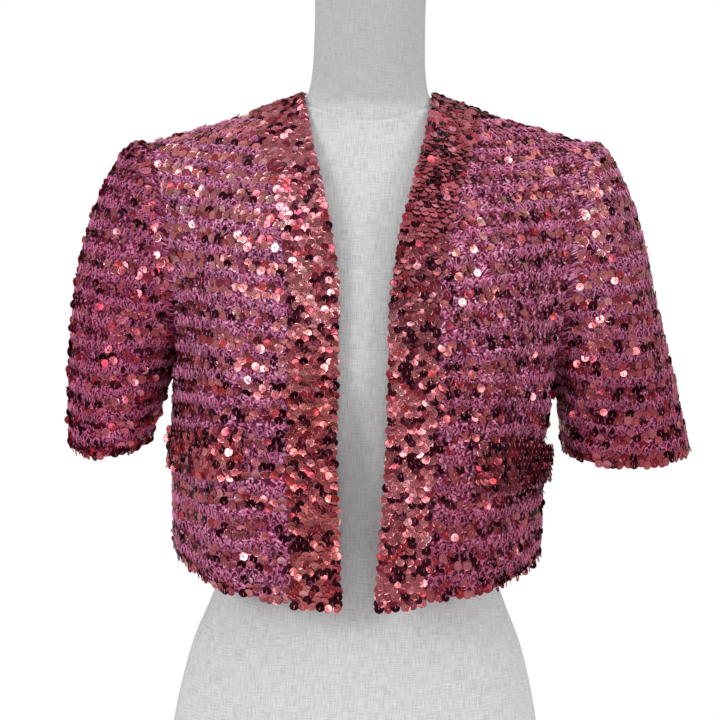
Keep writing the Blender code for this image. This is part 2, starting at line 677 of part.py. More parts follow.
def form_mesh():
    """Smooth closed loft through the form's sections, flat at the base and the neck."""
    rings = []
    spots = []
    for row, following in zip(FORM_ROWS, FORM_ROWS[1:] + [None]):
        spots.append(row[0])
        if following and following[0] - row[0] > 36:
            spots.append((row[0] + following[0]) / 2)
    for z in spots:
        a, front, back, square = (smooth_column(FORM_ROWS, FORM_COLUMNS, name, z) for name in FORM_COLUMNS[1:])
        dense = np.linspace(0, 2 * math.pi, 721)
        c, n = np.cos(dense), np.sin(dense)
        x = a * np.sign(c) * np.abs(c) ** (2 / square)
        y = np.where(n < 0, front, back) * np.sign(n) * np.abs(n) ** (2 / square)
        curve = np.stack([x, y, np.full_like(x, z)], axis=1)
        quarter = FORM_SEGMENTS // 4
        ring = []
        for k in range(4):
            piece = curve[k * 180:(k + 1) * 180 + 1]
            ring.append(along(piece, np.linspace(0, length_of(piece), quarter + 1))[:-1])
        rings.append(np.concatenate(ring))
    rings = np.array(rings)
    count = rings.shape[1]
    points = rings.reshape(-1, 3)
    faces = []
    for i in range(len(rings) - 1):
        for j in range(count):
            k = (j + 1) % count
            faces.append((i * count + j, i * count + k, (i + 1) * count + k, (i + 1) * count + j))
    faces.append(tuple(range(count))[::-1])
    faces.append(tuple((len(rings) - 1) * count + j for j in range(count)))
    return points, faces


# ---------------------------------------------------------------- objects

def material_for(name, kind):
    colour, roughness, metallic = COLOURS[kind]
    material = bpy.data.materials.new(name)
    material.use_nodes = True
    shader = material.node_tree.nodes["Principled BSDF"]
    shader.inputs["Base Color"].default_value = colour
    shader.inputs["Roughness"].default_value = roughness
    shader.inputs["Metallic"].default_value = metallic
    material.diffuse_color = colour
    return material


def add_object(name, points, faces, kind, collection, smooth=True):
    if signed_volume(points, faces) < 0:
        faces = [tuple(reversed(face)) for face in faces]
    mesh = bpy.data.meshes.new(name)
    mesh.from_pydata([tuple(p) for p in np.asarray(points) * MM], [], faces)
    mesh.update()
    if smooth:
        mesh.polygons.foreach_set("use_smooth", [True] * len(mesh.polygons))
    mesh.materials.append(material_for(name + "_finish", kind))
    thing = bpy.data.objects.new(name, mesh)
    thing.location = (-CENTRE_X * MM, -CENTRE_Y * MM, 0.0)
    collection.objects.link(thing)
    return thing


def main():
    for thing in list(bpy.data.objects):
        bpy.data.objects.remove(thing, do_unlink=True)
    collection = bpy.data.collections.new("jacket_on_dress_form")
    bpy.context.scene.collection.children.link(collection)

    form_points, form_faces = form_mesh()
    add_object("form_torso", form_points, form_faces, "form", collection)
    tree = BVHTree.FromPolygons([tuple(p) for p in form_points], form_faces)

    grids = outer_grids()
    for name, (grid, closed, seams) in grids.items():
        grid = leaned(grid)
        clear_of_form(grid, tree, FORM_CLEARANCE + WALL)
        grids[name] = (grid, closed, seams)
    normals = shared_normals(grids)
    for name, (grid, closed, seams) in grids.items():
        inside = grid - normals[name] * WALL
        clear_of_form(inside, tree, FORM_CLEARANCE)
        outer = pulled_back(grid, closed, seams)
        inner = pulled_back(inside, closed, seams)
        if closed:
            outer[0, :, 0] += math.copysign(0.2, outer[0, 0, 0])
            inner[0, :, 0] += math.copysign(0.2, outer[0, 0, 0])
        points, faces = wall_mesh(outer, inner, closed)
        add_object(name, points, faces, "band" if name.startswith("band") else "panel", collection)
    for side in ("left", "right"):
        outer, inner = (leaned(face) for face in welt_grids(side))
        points, faces = wall_mesh(outer, inner, False)
        add_object("pocket_welt_" + side, points, faces, "band", collection)


main()
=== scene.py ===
"""Visual model of the jacket on its dress form: cloth walls with creases and knit relief,
sequins, sewing threads and knit strands as joined meshes, procedural materials, camera, light."""

import math

import bpy
import numpy as np
from mathutils import Matrix, Vector
from mathutils.bvhtree import BVHTree
from mathutils.kdtree import KDTree


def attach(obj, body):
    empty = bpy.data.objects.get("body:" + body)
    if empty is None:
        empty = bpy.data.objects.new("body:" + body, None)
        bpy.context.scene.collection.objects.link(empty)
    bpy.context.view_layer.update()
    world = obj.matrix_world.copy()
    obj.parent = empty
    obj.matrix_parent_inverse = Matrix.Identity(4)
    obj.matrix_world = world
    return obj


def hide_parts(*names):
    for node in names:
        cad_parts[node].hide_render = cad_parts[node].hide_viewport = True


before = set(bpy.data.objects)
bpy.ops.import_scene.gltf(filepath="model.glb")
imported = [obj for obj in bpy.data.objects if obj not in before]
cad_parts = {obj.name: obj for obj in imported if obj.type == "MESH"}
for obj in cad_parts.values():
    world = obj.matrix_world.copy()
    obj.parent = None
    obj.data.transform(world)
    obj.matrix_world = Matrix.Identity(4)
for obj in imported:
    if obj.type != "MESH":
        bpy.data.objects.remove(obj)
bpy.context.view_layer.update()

MM = 0.001

# ---------------------------------------------------------------- camera

ROLL = 0.0209
camera_data = bpy.data.cameras.new("camera")
camera_data.lens = 79.55
camera_data.sensor_width = 36.0
camera_data.clip_start = 0.05
camera_data.clip_end = 20.0
camera = bpy.data.objects.new("camera", camera_data)
camera.matrix_world = Matrix((
    (math.cos(ROLL), -math.sin(ROLL), 0.0, -0.01814),
    (0.0, 0.0, -1.0, -1.396),
    (math.sin(ROLL), math.cos(ROLL), 0.0, 0.430),
    (0.0, 0.0, 0.0, 1.0),
))
bpy.context.scene.collection.objects.link(camera)
bpy.context.scene.camera = camera

# ---------------------------------------------------------------- sizes and tables, in millimetres

CENTRE_X = 15.5
CENTRE_Y = -4.0

WALL = 2.6             # the CAD wall; the cloth itself is its inner part, sequins stand on it
SKIN = 1.0             # the cloth's face lies this far under the CAD wall's outer face
SEAM_HALF_GAP = 0.05
LEAN = 0.0209
FORM_CLEARANCE = 2.1
WELT_WALL = 2.6
WELT_GAP = 1.2

ROWS_BODY = 46
ROWS_ARMHOLE = 60
COLS_BAND = 12
COLS_PANEL = 48
COLS_NECK = 24
RINGS_SLEEVE = 66
FORM_SEGMENTS = 104

FRONT_COLUMNS = ("v", "x_open", "y_open", "z_open", "x_princess", "y_princess", "z_princess", "band")
FRONT_ROWS = [
    (0.00, 15.0, -119.0, 234.0, 112.0, -99.0, 243.0, 39.0),
    (0.25, 18.0, -120.0, 284.0, 114.0, -100.0, 287.0, 39.0),
    (0.50, 20.5, -121.0, 331.0, 116.0, -101.0, 332.0, 39.0),
    (0.75, 21.8, -122.0, 379.0, 118.0, -102.0, 378.0, 39.0),
    (1.00, 22.0, -122.5, 426.0, 120.0, -102.0, 423.0, 39.0),
    (1.17, 22.0, -122.0, 472.0, 121.0, -101.0, 466.0, 39.0),
    (1.35, 28.5, -115.0, 528.0, 121.5, -94.0, 512.0, 39.0),
    (1.55, 40.0, -90.0, 580.0, 122.0, -77.0, 560.0, 39.0),
    (1.77, 51.5, -50.0, 627.0, 123.0, -48.0, 606.0, 42.0),
    (1.89, 56.0, -20.0, 654.0, 123.5, -20.0, 633.0, 45.0),
]
NECK_POINT = (58.5, 10.0, 667.0)
SHOULDER_POINT = (191.0, 5.0, 624.0)
SHOULDER_SAG = 2.5
YOKE_SPLIT = 0.36

SIDE_COLUMNS = ("v", "x_left", "x_right", "y_front", "y_back", "z_left", "z_right", "z_back_up")
SIDE_ROWS = [
    (0.00, 163.0, 158.0, -4.5, -4.5, 272.0, 262.0, 0.0),
    (0.25, 164.0, 158.5, -4.5, -4.5, 301.0, 298.0, 0.0),
    (0.50, 164.5, 158.5, -4.5, -4.5, 340.0, 334.0, 0.0),
    (0.75, 164.5, 160.5, -4.5, -4.5, 379.0, 369.0, 0.0),
    (1.00, 165.0, 167.0, -4.5, -4.5, 418.0, 402.0, 0.0),
    (1.17, 162.0, 169.0, -42.0, 36.0, 447.0, 436.0, 3.0),
    (1.35, 162.5, 171.0, -55.0, 58.0, 485.0, 478.0, 3.0),
    (1.55, 168.0, 176.0, -53.0, 64.0, 530.0, 527.0, 2.0),
    (1.77, 178.5, 183.5, -42.0, 54.0, 582.0, 581.0, 3.0),
    (1.90, 186.0, 188.0, -23.0, 34.0, 613.0, 612.5, 1.5),
    (2.00, 191.0, 191.0, 5.0, 5.0, 624.0, 624.0, 0.0),
]

BACK_COLUMNS = ("v", "x_blade", "y_blade", "z_blade", "y_centre", "z_centre")
BACK_ROWS = [
    (0.00, 108.0, 88.0, 254.0, 101.0, 250.0),
    (0.25, 110.0, 89.0, 296.0, 102.0, 293.0),
    (0.50, 110.0, 91.0, 338.0, 103.0, 336.0),
    (0.75, 112.0, 93.0, 379.0, 105.0, 378.0),
    (1.00, 114.0, 96.0, 423.0, 107.0, 423.0),
    (1.17, 116.0, 99.0, 465.0, 110.0, 462.0),
    (1.35, 117.0, 99.0, 509.0, 111.0, 500.0),
    (1.55, 116.0, 90.0, 557.0, 106.0, 539.0),
    (1.77, 112.0, 62.0, 611.0, 91.0, 575.0),
    (1.89, 108.5, 36.0, 639.0, 81.5, 589.0),
]
BACK_BAND_SEAM_CENTRE = (0.0, 70.0, 602.0)
BACK_NECK_CENTRE = (0.0, 57.0, 645.0)
BACK_NECK_QUARTER = (46.0, 43.0, 652.0)

SLEEVE_COLUMNS = (
    "s", "x_top_left", "z_top_left", "x_low_left", "z_low_left",
    "x_top_right", "z_top_right", "x_low_right", "z_low_right",
    "depth_left", "depth_right",
)
SLEEVE_ROWS = [
    (0.00, 191.0, 624.0, 165.0, 418.0, 191.0, 624.0, 167.0, 402.0, 60.0, 60.0),
    (0.07, 205.5, 624.5, 167.5, 413.5, 203.5, 623.0, 169.0, 398.5, 61.0, 61.0),
    (0.20, 228.0, 598.0, 170.5, 406.0, 224.0, 597.0, 170.5, 393.0, 63.0, 62.0),
    (0.35, 240.0, 563.0, 174.0, 397.0, 237.5, 563.0, 172.0, 386.0, 65.0, 63.0),
    (0.50, 248.5, 525.0, 177.5, 388.0, 246.5, 526.0, 173.5, 380.0, 66.0, 62.0),
    (0.65, 254.0, 483.0, 180.5, 379.0, 255.0, 484.0, 174.5, 373.0, 66.0, 59.0),
    (0.80, 256.0, 437.0, 183.5, 371.0, 267.0, 437.0, 175.5, 364.0, 66.0, 55.0),
    (0.90, 256.5, 400.0, 185.0, 365.5, 276.5, 397.0, 176.0, 358.0, 66.0, 52.0),
    (1.00, 254.5, 359.0, 187.0, 360.0, 287.5, 352.0, 177.0, 351.0, 65.0, 50.0),
]
SLEEVE_DIP = {"left": (11.0, 5.0), "right": (12.0, 4.0)}
SLEEVE_SQUARE = 2.2

# Piece, middle across, half width across, from, to, depth out, drift across. The largest folds.
FOLDS = [
    ("front_left", 0.30, 0.16, -0.2, 1.20, 2.2, 0.06),
    ("front_left", 0.62, 0.14, -0.1, 0.95, -2.6, -0.05),
    ("front_left", 0.84, 0.10, 0.20, 1.35, 2.4, -0.04),
    ("front_right", 0.26, 0.15, -0.2, 1.05, 2.0, 0.05),
    ("front_right", 0.55, 0.13, -0.1, 1.10, -2.4, 0.06),
    ("front_right", 0.80, 0.11, 0.10, 1.25, 2.6, -0.05),
    ("back", -0.62, 0.10, -0.2, 1.10, 3.2, 0.05),
    ("back", -0.34, 0.12, -0.1, 0.90, -3.4, 0.04),
    ("back", -0.04, 0.13, -0.2, 1.20, 3.0, -0.03),
    ("back", 0.30, 0.11, -0.1, 0.95, -3.0, -0.04),
    ("back", 0.58, 0.10, -0.2, 1.15, 3.4, -0.05),
    ("sleeve_left", 0.33, 0.10, 0.10, 1.30, -6.5, -0.02),
    ("sleeve_left", 0.17, 0.09, 0.15, 1.20, 3.0, 0.02),
    ("sleeve_left", -0.28, 0.10, 0.20, 1.30, -4.0, 0.03),
    ("sleeve_right", 0.36, 0.10, 0.15, 1.30, -4.5, -0.03),
    ("sleeve_right", 0.20, 0.09, 0.20, 1.30, 3.0, 0.03),
    ("sleeve_right", -0.30, 0.11, 0.15, 1.30, -4.0, 0.03),
]

# The smaller creases: troughs and ridges, uneven in length, depth and spacing.
CREASES = [
    # small waves of the hem and the lower fronts
    ("front_left", 0.12, 0.045, -0.3, 0.42, 1.0, 0.02),
    ("front_left", 0.21, 0.035, -0.4, 0.28, -0.9, 0.01),
    ("front_left", 0.43, 0.040, -0.3, 0.36, 1.1, -0.03),
    ("front_left", 0.54, 0.035, -0.2, 0.30, -0.8, -0.02),
    ("front_left", 0.74, 0.045, -0.4, 0.50, 1.3, -0.03),
    ("front_left", 0.92, 0.040, -0.2, 0.60, -1.1, -0.02),
    ("front_right", 0.10, 0.040, -0.3, 0.34, 0.9, 0.02),
    ("front_right", 0.19, 0.035, -0.4, 0.46, -1.1, 0.03),
    ("front_right", 0.40, 0.045, -0.3, 0.26, 1.2, 0.02),
    ("front_right", 0.66, 0.040, -0.2, 0.42, -1.0, -0.02),
    ("front_right", 0.90, 0.045, -0.4, 0.55, 1.1, -0.03),
    # drags that run from the underarm in toward the bust and down
    ("front_left", 0.80, 0.035, 0.86, 1.34, -1.5, 0.34),
    ("front_left", 0.74, 0.030, 0.78, 1.20, 1.1, 0.40),
    ("front_left", 0.88, 0.030, 1.05, 1.60, -1.2, 0.16),
    ("front_left", 0.93, 0.028, 1.15, 1.78, 1.0, 0.08),
    ("front_right", 0.78, 0.035, 0.80, 1.28, -1.6, 0.36),
    ("front_right", 0.72, 0.030, 0.90, 1.30, 1.0, 0.30),
    ("front_right", 0.90, 0.030, 1.08, 1.70, -1.3, 0.12),
    ("front_right", 0.94, 0.026, 1.25, 1.85, 0.9, 0.05),
    # from the shoulder down over the chest
    ("front_left", 0.42, 0.060, 1.35, 2.15, 0.8, 0.06),
    ("front_left", 0.62, 0.050, 1.42, 2.12, -0.8, 0.05),
    ("front_right", 0.36, 0.055, 1.38, 2.15, 0.9, 0.05),
    ("front_right", 0.58, 0.050, 1.30, 2.10, -0.7, 0.08),
    # the back: two slack folds under the shoulder blades, hem waves, drags from the armholes
    ("back", -0.80, 0.030, 0.80, 1.35, -1.7, -0.14),
    ("back", -0.74, 0.026, 0.60, 1.15, 1.2, -0.20),
    ("back", 0.79, 0.030, 0.78, 1.40, -1.6, 0.15),
    ("back", 0.73, 0.026, 0.55, 1.10, 1.3, 0.22),
    ("back", -0.50, 0.028, -0.3, 0.52, 1.6, 0.02),
    ("back", -0.44, 0.024, -0.2, 0.34, -1.3, 0.01),
    ("back", -0.20, 0.030, -0.3, 0.70, -1.6, 0.03),
    ("back", -0.13, 0.022, -0.4, 0.30, 1.1, 0.01),
    ("back", 0.12, 0.030, -0.3, 0.60, 1.5, -0.02),
    ("back", 0.20, 0.024, -0.2, 0.40, -1.2, -0.01),
    ("back", 0.44, 0.030, -0.3, 0.76, -1.5, -0.03),
    ("back", 0.70, 0.026, -0.4, 0.44, 1.3, -0.02),
    ("back", -0.86, 0.028, -0.3, 0.62, -1.2, 0.02),
    ("back", 0.88, 0.030, -0.3, 0.50, -1.3, -0.02),
    ("back", -0.30, 0.040, 1.30, 2.10, 1.2, -0.06),
    ("back", 0.26, 0.040, 1.34, 2.12, 1.1, 0.06),
    ("back", -0.55, 0.034, 1.40, 2.10, -1.1, -0.06),
    ("back", 0.52, 0.034, 1.36, 2.08, -1.0, 0.07),
    # the rounded tops of the sleeve heads
    ("sleeve_left", 0.02, 0.13, -0.12, 0.36, 3.2, 0.0),
    ("sleeve_right", 0.02, 0.12, -0.12, 0.34, 2.2, 0.0),
    # gathers of the sleeve heads
    ("sleeve_left", -0.020, 0.012, -0.16, 0.20, -1.5, 0.004),
    ("sleeve_left", 0.018, 0.011, -0.14, 0.26, 1.2, 0.006),
    ("sleeve_left", 0.052, 0.012, -0.15, 0.18, -1.6, 0.008),
    ("sleeve_left", 0.086, 0.013, -0.12, 0.30, 1.3, 0.012),
    ("sleeve_left", 0.124, 0.013, -0.15, 0.22, -1.4, 0.010),
    ("sleeve_left", 0.166, 0.016, -0.12, 0.34, 1.1, 0.014),
    ("sleeve_left", -0.058, 0.012, -0.14, 0.24, 1.3, -0.006),
    ("sleeve_left", -0.094, 0.013, -0.15, 0.20, -1.5, -0.010),
    ("sleeve_left", -0.136, 0.014, -0.12, 0.30, 1.2, -0.012),
    ("sleeve_left", -0.180, 0.015, -0.13, 0.24, -1.2, -0.012),
    ("sleeve_right", -0.012, 0.012, -0.15, 0.22, -1.5, 0.004),
    ("sleeve_right", 0.026, 0.012, -0.14, 0.30, 1.3, 0.006),
    ("sleeve_right", 0.064, 0.012, -0.15, 0.19, -1.5, 0.008),
    ("sleeve_right", 0.100, 0.013, -0.12, 0.26, 1.2, 0.012),
    ("sleeve_right", 0.142, 0.014, -0.15, 0.24, -1.3, 0.010),
    ("sleeve_right", -0.050, 0.012, -0.14, 0.26, 1.3, -0.006),
    ("sleeve_right", -0.088, 0.013, -0.15, 0.21, -1.4, -0.010),
    ("sleeve_right", -0.128, 0.014, -0.12, 0.32, 1.2, -0.012),
    ("sleeve_right", -0.172, 0.015, -0.13, 0.22, -1.2, -0.012),
    # the deep hollows beside the armholes
    ("sleeve_left", 0.37, 0.075, -0.10, 0.85, -3.8, 0.02),
    ("sleeve_right", 0.38, 0.070, -0.10, 0.80, -3.4, 0.02),
    ("sleeve_left", -0.38, 0.070, -0.10, 0.80, -3.0, 0.02),
    ("sleeve_right", -0.37, 0.075, -0.10, 0.85, -3.2, 0.02),
    # slack of the sleeves, front, underarm and back
    ("sleeve_left", 0.25, 0.030, 0.10, 0.90, -1.7, 0.05),
    ("sleeve_left", 0.41, 0.028, 0.02, 0.75, 1.5, -0.04),
    ("sleeve_left", 0.46, 0.024, 0.05, 0.60, -1.4, -0.05),
    ("sleeve_left", 0.10, 0.032, 0.45, 1.25, 1.3, 0.02),
    ("sleeve_left", -0.14, 0.032, 0.35, 1.20, -1.5, 0.03),
    ("sleeve_left", -0.38, 0.028, 0.05, 0.80, 1.6, 0.05),
    ("sleeve_left", -0.44, 0.022, 0.08, 0.60, -1.2, 0.04),
    ("sleeve_left", 0.02, 0.040, 0.55, 1.30, -1.1, 0.01),
    ("sleeve_right", 0.28, 0.030, 0.10, 0.85, -1.6, 0.05),
    ("sleeve_right", 0.43, 0.026, 0.02, 0.70, 1.4, -0.04),
    ("sleeve_right", 0.12, 0.034, 0.40, 1.25, 1.4, 0.03),
    ("sleeve_right", 0.03, 0.038, 0.50, 1.30, -1.2, 0.01),
    ("sleeve_right", -0.16, 0.032, 0.30, 1.15, -1.5, 0.03),
    ("sleeve_right", -0.40, 0.028, 0.05, 0.85, 1.5, 0.05),
    ("sleeve_right", -0.24, 0.026, 0.40, 1.20, 1.0, 0.02),
    # bands: a soft wave of the opening edges; not applied, as the bands are built without folds
    ("band_front_left", 0.5, 0.60, 0.10, 0.62, 0.8, 0.0),
    ("band_front_left", 0.3, 0.50, 0.80, 1.30, -0.7, 0.0),
    ("band_front_right", 0.5, 0.60, 0.02, 0.40, 0.9, 0.0),
    ("band_front_right", 0.3, 0.50, 0.55, 1.10, -0.8, 0.0),
]

WELTS = {
    "left": {"u": (0.215, 0.870), "low": (0.505, 0.490), "high": (0.730, 0.705), "flare": 0.0},
    "right": {"u": (0.205, 0.985), "low": (0.455, 0.455), "high": (0.670, 0.660), "flare": 5.0},
}

FORM_COLUMNS = ("z", "half_width", "front", "back", "square")
FORM_ROWS = [
    (0.0, 155.0, 91.0, 106.0, 2.25),
    (40.0, 158.5, 95.0, 112.0, 2.25),
    (85.0, 162.0, 98.0, 116.0, 2.25),
    (122.0, 157.5, 96.0, 114.0, 2.2),
    (150.0, 152.0, 93.0, 109.0, 2.2),
    (184.0, 143.0, 89.0, 100.0, 2.2),
    (219.0, 129.0, 85.0, 88.0, 2.15),
    (250.0, 118.0, 83.0, 79.0, 2.15),
    (285.0, 112.0, 83.0, 74.0, 2.15),
    (330.0, 117.0, 91.0, 76.0, 2.15),
    (380.0, 129.0, 103.0, 82.0, 2.2),
    (430.0, 140.0, 112.0, 89.0, 2.25),
    (470.0, 145.0, 112.0, 93.0, 2.25),
    (510.0, 146.0, 104.0, 93.0, 2.25),
    (545.0, 151.0, 91.0, 87.0, 2.1),
    (575.0, 168.0, 77.0, 76.0, 1.75),
    (592.0, 177.0, 69.0, 70.0, 1.48),
    (604.0, 177.0, 63.0, 66.0, 1.33),
    (615.0, 163.0, 58.0, 62.0, 1.23),
    (626.0, 136.0, 53.0, 58.0, 1.22),
    (636.0, 106.0, 49.0, 54.0, 1.32),
    (646.0, 77.0, 47.0, 50.0, 1.55),
    (655.0, 60.0, 46.0, 48.0, 1.85),
    (664.0, 53.0, 45.5, 47.0, 1.97),
    (676.0, 50.5, 45.0, 46.0, 2.0),
    (694.0, 49.0, 45.0, 45.5, 2.0),
    (730.0, 48.5, 44.5, 45.0, 2.0),
    (764.0, 49.0, 45.0, 45.5, 2.0),
    (771.0, 47.5, 43.5, 44.0, 2.0),
    (775.0, 43.5, 39.5, 40.0, 2.0),
]

# Sequins and knit.
REPEAT_BODY = 21.5       # one band of sequins and one of knit
REPEAT_SLEEVE = 20.0
SUB_ROWS = (3.0, 8.8, 13.4)    # where the sub-rows of sequins lie in a repeat; the third has few
PITCH = 7.8
SEQUIN_RADIUS = 3.95
BAND_PITCH_UP = 4.6
BAND_PITCH_ACROSS = 6.8
CELL = 7.4               # one shell of the knit
ROW_FALL = {"front": 0.16, "back": 0.03}    # how far the rows fall toward the middle, per millimetre


# ---------------------------------------------------------------- interpolation

def smooth_column(rows, names, name, at):
    """Monotone cubic through one named column of a table, read at one place."""
    xs = np.array([row[0] for row in rows], float)
    ys = np.array([row[names.index(name)] for row in rows], float)
    h = np.diff(xs)
    slope = np.diff(ys) / h
    tangent = np.zeros(len(xs))
    for i in range(1, len(xs) - 1):
        if slope[i - 1] * slope[i] > 0:
            w1 = 2 * h[i] + h[i - 1]
            w2 = h[i] + 2 * h[i - 1]
            tangent[i] = (w1 + w2) / (w1 / slope[i - 1] + w2 / slope[i])
    tangent[0], tangent[-1] = slope[0], slope[-1]
    at = min(max(at, xs[0]), xs[-1])
    i = min(int(np.searchsorted(xs, at, side="right")) - 1, len(h) - 1)
    t = (at - xs[i]) / h[i]
    return float(
        ys[i] * (1 + 2 * t) * (1 - t) ** 2
        + h[i] * tangent[i] * t * (1 - t) ** 2
        + ys[i + 1] * t * t * (3 - 2 * t)
        + h[i] * tangent[i + 1] * t * t * (t - 1)
    )


def smoothstep(t):
    t = np.clip(t, 0.0, 1.0)
    return t * t * (3 - 2 * t)


def lerp(a, b, t):
    return np.asarray(a, float) * (1 - t) + np.asarray(b, float) * t


def unit(vector):
    vector = np.asarray(vector, float)
    return vector / max(np.linalg.norm(vector), 1e-12)


def units(vectors):
    return vectors / np.maximum(np.linalg.norm(vectors, axis=-1, keepdims=True), 1e-12)


def hermite(start, end, start_slope, end_slope, count=48):
    length = np.linalg.norm(np.subtract(end, start))
    t = np.linspace(0, 1, count)[:, None]
    return (
        np.asarray(start) * (1 + 2 * t) * (1 - t) ** 2
        + length * np.asarray(start_slope) * t * (1 - t) ** 2
        + np.asarray(end) * t * t * (3 - 2 * t)
        + length * np.asarray(end_slope) * t * t * (t - 1)
    )


def through(a, b, c):
    h1 = np.linalg.norm(b - a)
    h2 = np.linalg.norm(c - b)
    return ((c - b) / h2 * h1 + (b - a) / h1 * h2) / (h1 + h2)


def along(curve, lengths):
    steps = np.linalg.norm(np.diff(curve, axis=0), axis=1)
    total = np.concatenate([[0.0], np.cumsum(steps)])
    lengths = np.asarray(lengths, float)
    return np.stack([np.interp(lengths, total, curve[:, k]) for k in range(3)], axis=1)


def length_of(curve):
    return float(np.linalg.norm(np.diff(curve, axis=0), axis=1).sum())


# ---------------------------------------------------------------- garment lines

def side_point(side, face, v):
    read = lambda name: smooth_column(SIDE_ROWS, SIDE_COLUMNS, name, v)
    z = read("z_" + side)
    if face == "back":
        z += read("z_back_up")
    return np.array([read("x_" + side), read("y_" + face), z])


def shoulder_line(t):
    split = lerp(NECK_POINT, SHOULDER_POINT, YOKE_SPLIT) - np.array([0, 0, SHOULDER_SAG])
    if t <= YOKE_SPLIT:
        return lerp(NECK_POINT, split, t / YOKE_SPLIT)
    return lerp(split, SHOULDER_POINT, (t - YOKE_SPLIT) / (1 - YOKE_SPLIT))


FRONT_CURVES = {}


def front_curve(side, v):
    """One section row of the front, from the opening edge to the side, x outward."""
    if (side, v) in FRONT_CURVES:
        return FRONT_CURVES[side, v]
    if v >= 2:
        return np.array([shoulder_line(t) for t in np.linspace(0, 1, 101)])
    edge = side_point(side, "front", v)
    top = smoothstep((v - 1.62) / 0.38)
    names = ("x_open", "y_open", "z_open", "x_princess", "y_princess", "z_princess")
    ends = dict(zip(names[:3], NECK_POINT))
    ends.update(zip(names[3:], shoulder_line(0.5)))
    values = []
    for name in names:
        rows = [(row[0], row[FRONT_COLUMNS.index(name)]) for row in FRONT_ROWS]
        rows.append((2.0, ends[name]))
        values.append(smooth_column(rows, ("v", name), name, v))
    opening, princess = np.array(values[:3]), np.array(values[3:])
    if side == "right":
        princess = princess + np.array([edge[0] - side_point("left", "front", v)[0], 0, 0]) * 0.5
    armhole = smoothstep((v - 1.0) / 0.3)
    seam = unit(np.subtract(SHOULDER_POINT, NECK_POINT))
    start = unit(lerp((1.0, 0.04, 0.0), (1.0, -0.12, -0.15), smoothstep((v - 1.1) / 0.7)))
    end = unit(lerp((0.0, 1.0, 0.0), (0.80, 0.60, -0.05), armhole))
    start, end = unit(lerp(start, seam, top)), unit(lerp(end, seam, top))
    middle = lerp(through(opening, princess, edge), seam, top)
    curve = np.concatenate([
        hermite(opening, princess, start, middle),
        hermite(princess, edge, middle, end)[1:],
    ])
    FRONT_CURVES[side, v] = curve
    return curve


def band_width(v):
    rows = [(row[0], row[-1]) for row in FRONT_ROWS]
    rows.append((2.0, np.linalg.norm(shoulder_line(YOKE_SPLIT) - np.asarray(NECK_POINT))))
    return smooth_column(rows, ("v", "band"), "band", v)


def mirror(points, side):
    points = np.array(points, float)
    if side == "left":
        points[:, 0] *= -1
    return points


def band_row(side, v, count):
    return mirror(along(front_curve(side, v), np.linspace(0, band_width(v), count + 1)), side)


def panel_row(side, v, fractions):
    curve = front_curve(side, v)
    first, last = band_width(v), length_of(curve)
    return mirror(along(curve, first + (last - first) * np.asarray(fractions)), side)


def back_curves(side, v):
    edge = side_point(side, "back", v)
    split = shoulder_line(YOKE_SPLIT)
    ends = {
        "x_blade": split[0], "y_blade": split[1], "z_blade": split[2],
        "y_centre": BACK_BAND_SEAM_CENTRE[1], "z_centre": BACK_BAND_SEAM_CENTRE[2],
    }
    values = {}
    for name, last in ends.items():
        rows = [(row[0], row[BACK_COLUMNS.index(name)]) for row in BACK_ROWS]
        rows.append((2.0, last))
        values[name] = smooth_column(rows, ("v", name), name, v)
    blade = np.array([values["x_blade"], values["y_blade"], values["z_blade"]])
    centre = np.array([0.0, values["y_centre"], values["z_centre"]])
    armhole = smoothstep((v - 1.0) / 0.3)
    top = smoothstep((v - 1.62) / 0.38)
    seam = unit(split - np.asarray(SHOULDER_POINT))
    start = unit(lerp((0.0, 1.0, 0.0), (-0.72, 0.68, 0.10), armhole))
    start = unit(lerp(start, seam, top))
    middle = through(edge, blade, centre)
    before = lerp(middle, seam, top)
    after = lerp(middle, unit((-0.42, 0.74, -0.52)), top)
    return (
        hermite(edge, blade, start, before),
        hermite(blade, centre, after, (-1.0, 0.0, 0.0)),
    )


def back_row(v, outer, inner):
    halves = {}
    for side in ("left", "right"):
        first, second = back_curves(side, v)
        a = along(first, np.linspace(0, length_of(first), outer + 1))
        b = along(second, np.linspace(0, length_of(second), inner + 1))
        halves[side] = mirror(np.concatenate([a, b[1:]]), side)
    return np.concatenate([halves["left"], halves["right"][-2::-1]])


def neck_edge(count):
    a, b, c = (np.array(p, float) for p in (NECK_POINT, BACK_NECK_QUARTER, BACK_NECK_CENTRE))
    middle = through(a, b, c)
    curve = np.concatenate([
        hermite(a, b, unit((0.08, 0.95, -0.35)), middle),
        hermite(b, c, middle, (-1.0, 0.0, 0.0))[1:],
    ])
    half = along(curve, np.linspace(0, length_of(curve), count + 1))
    return np.concatenate([mirror(half, "left"), half[-2::-1]])


def neck_band_grid(across, half_count):
    seam = back_row(2.0, COLS_PANEL, half_count)[COLS_PANEL:-COLS_PANEL]
    edge = neck_edge(half_count)
    rows = []
    for t in np.linspace(0, 1, across + 1):
        lift = np.array([0.0, 2.2, 1.2]) * math.sin(math.pi * t)
        shape = np.sin(np.linspace(0, math.pi, len(seam)))[:, None]
        rows.append(edge * (1 - t) + seam * t + lift * shape)
    return np.array(rows)


def armhole_levels(count):
    t = np.linspace(0, 1, count + 1)
    return 1 + t - 0.06 * np.sin(2 * math.pi * t)


def armhole_loop(side, count):
    levels = armhole_levels(count)
    down = [side_point(side, "front", v) for v in levels[::-1]]
    up = [side_point(side, "back", v) for v in levels]
    return np.array(down + up[1:-1])


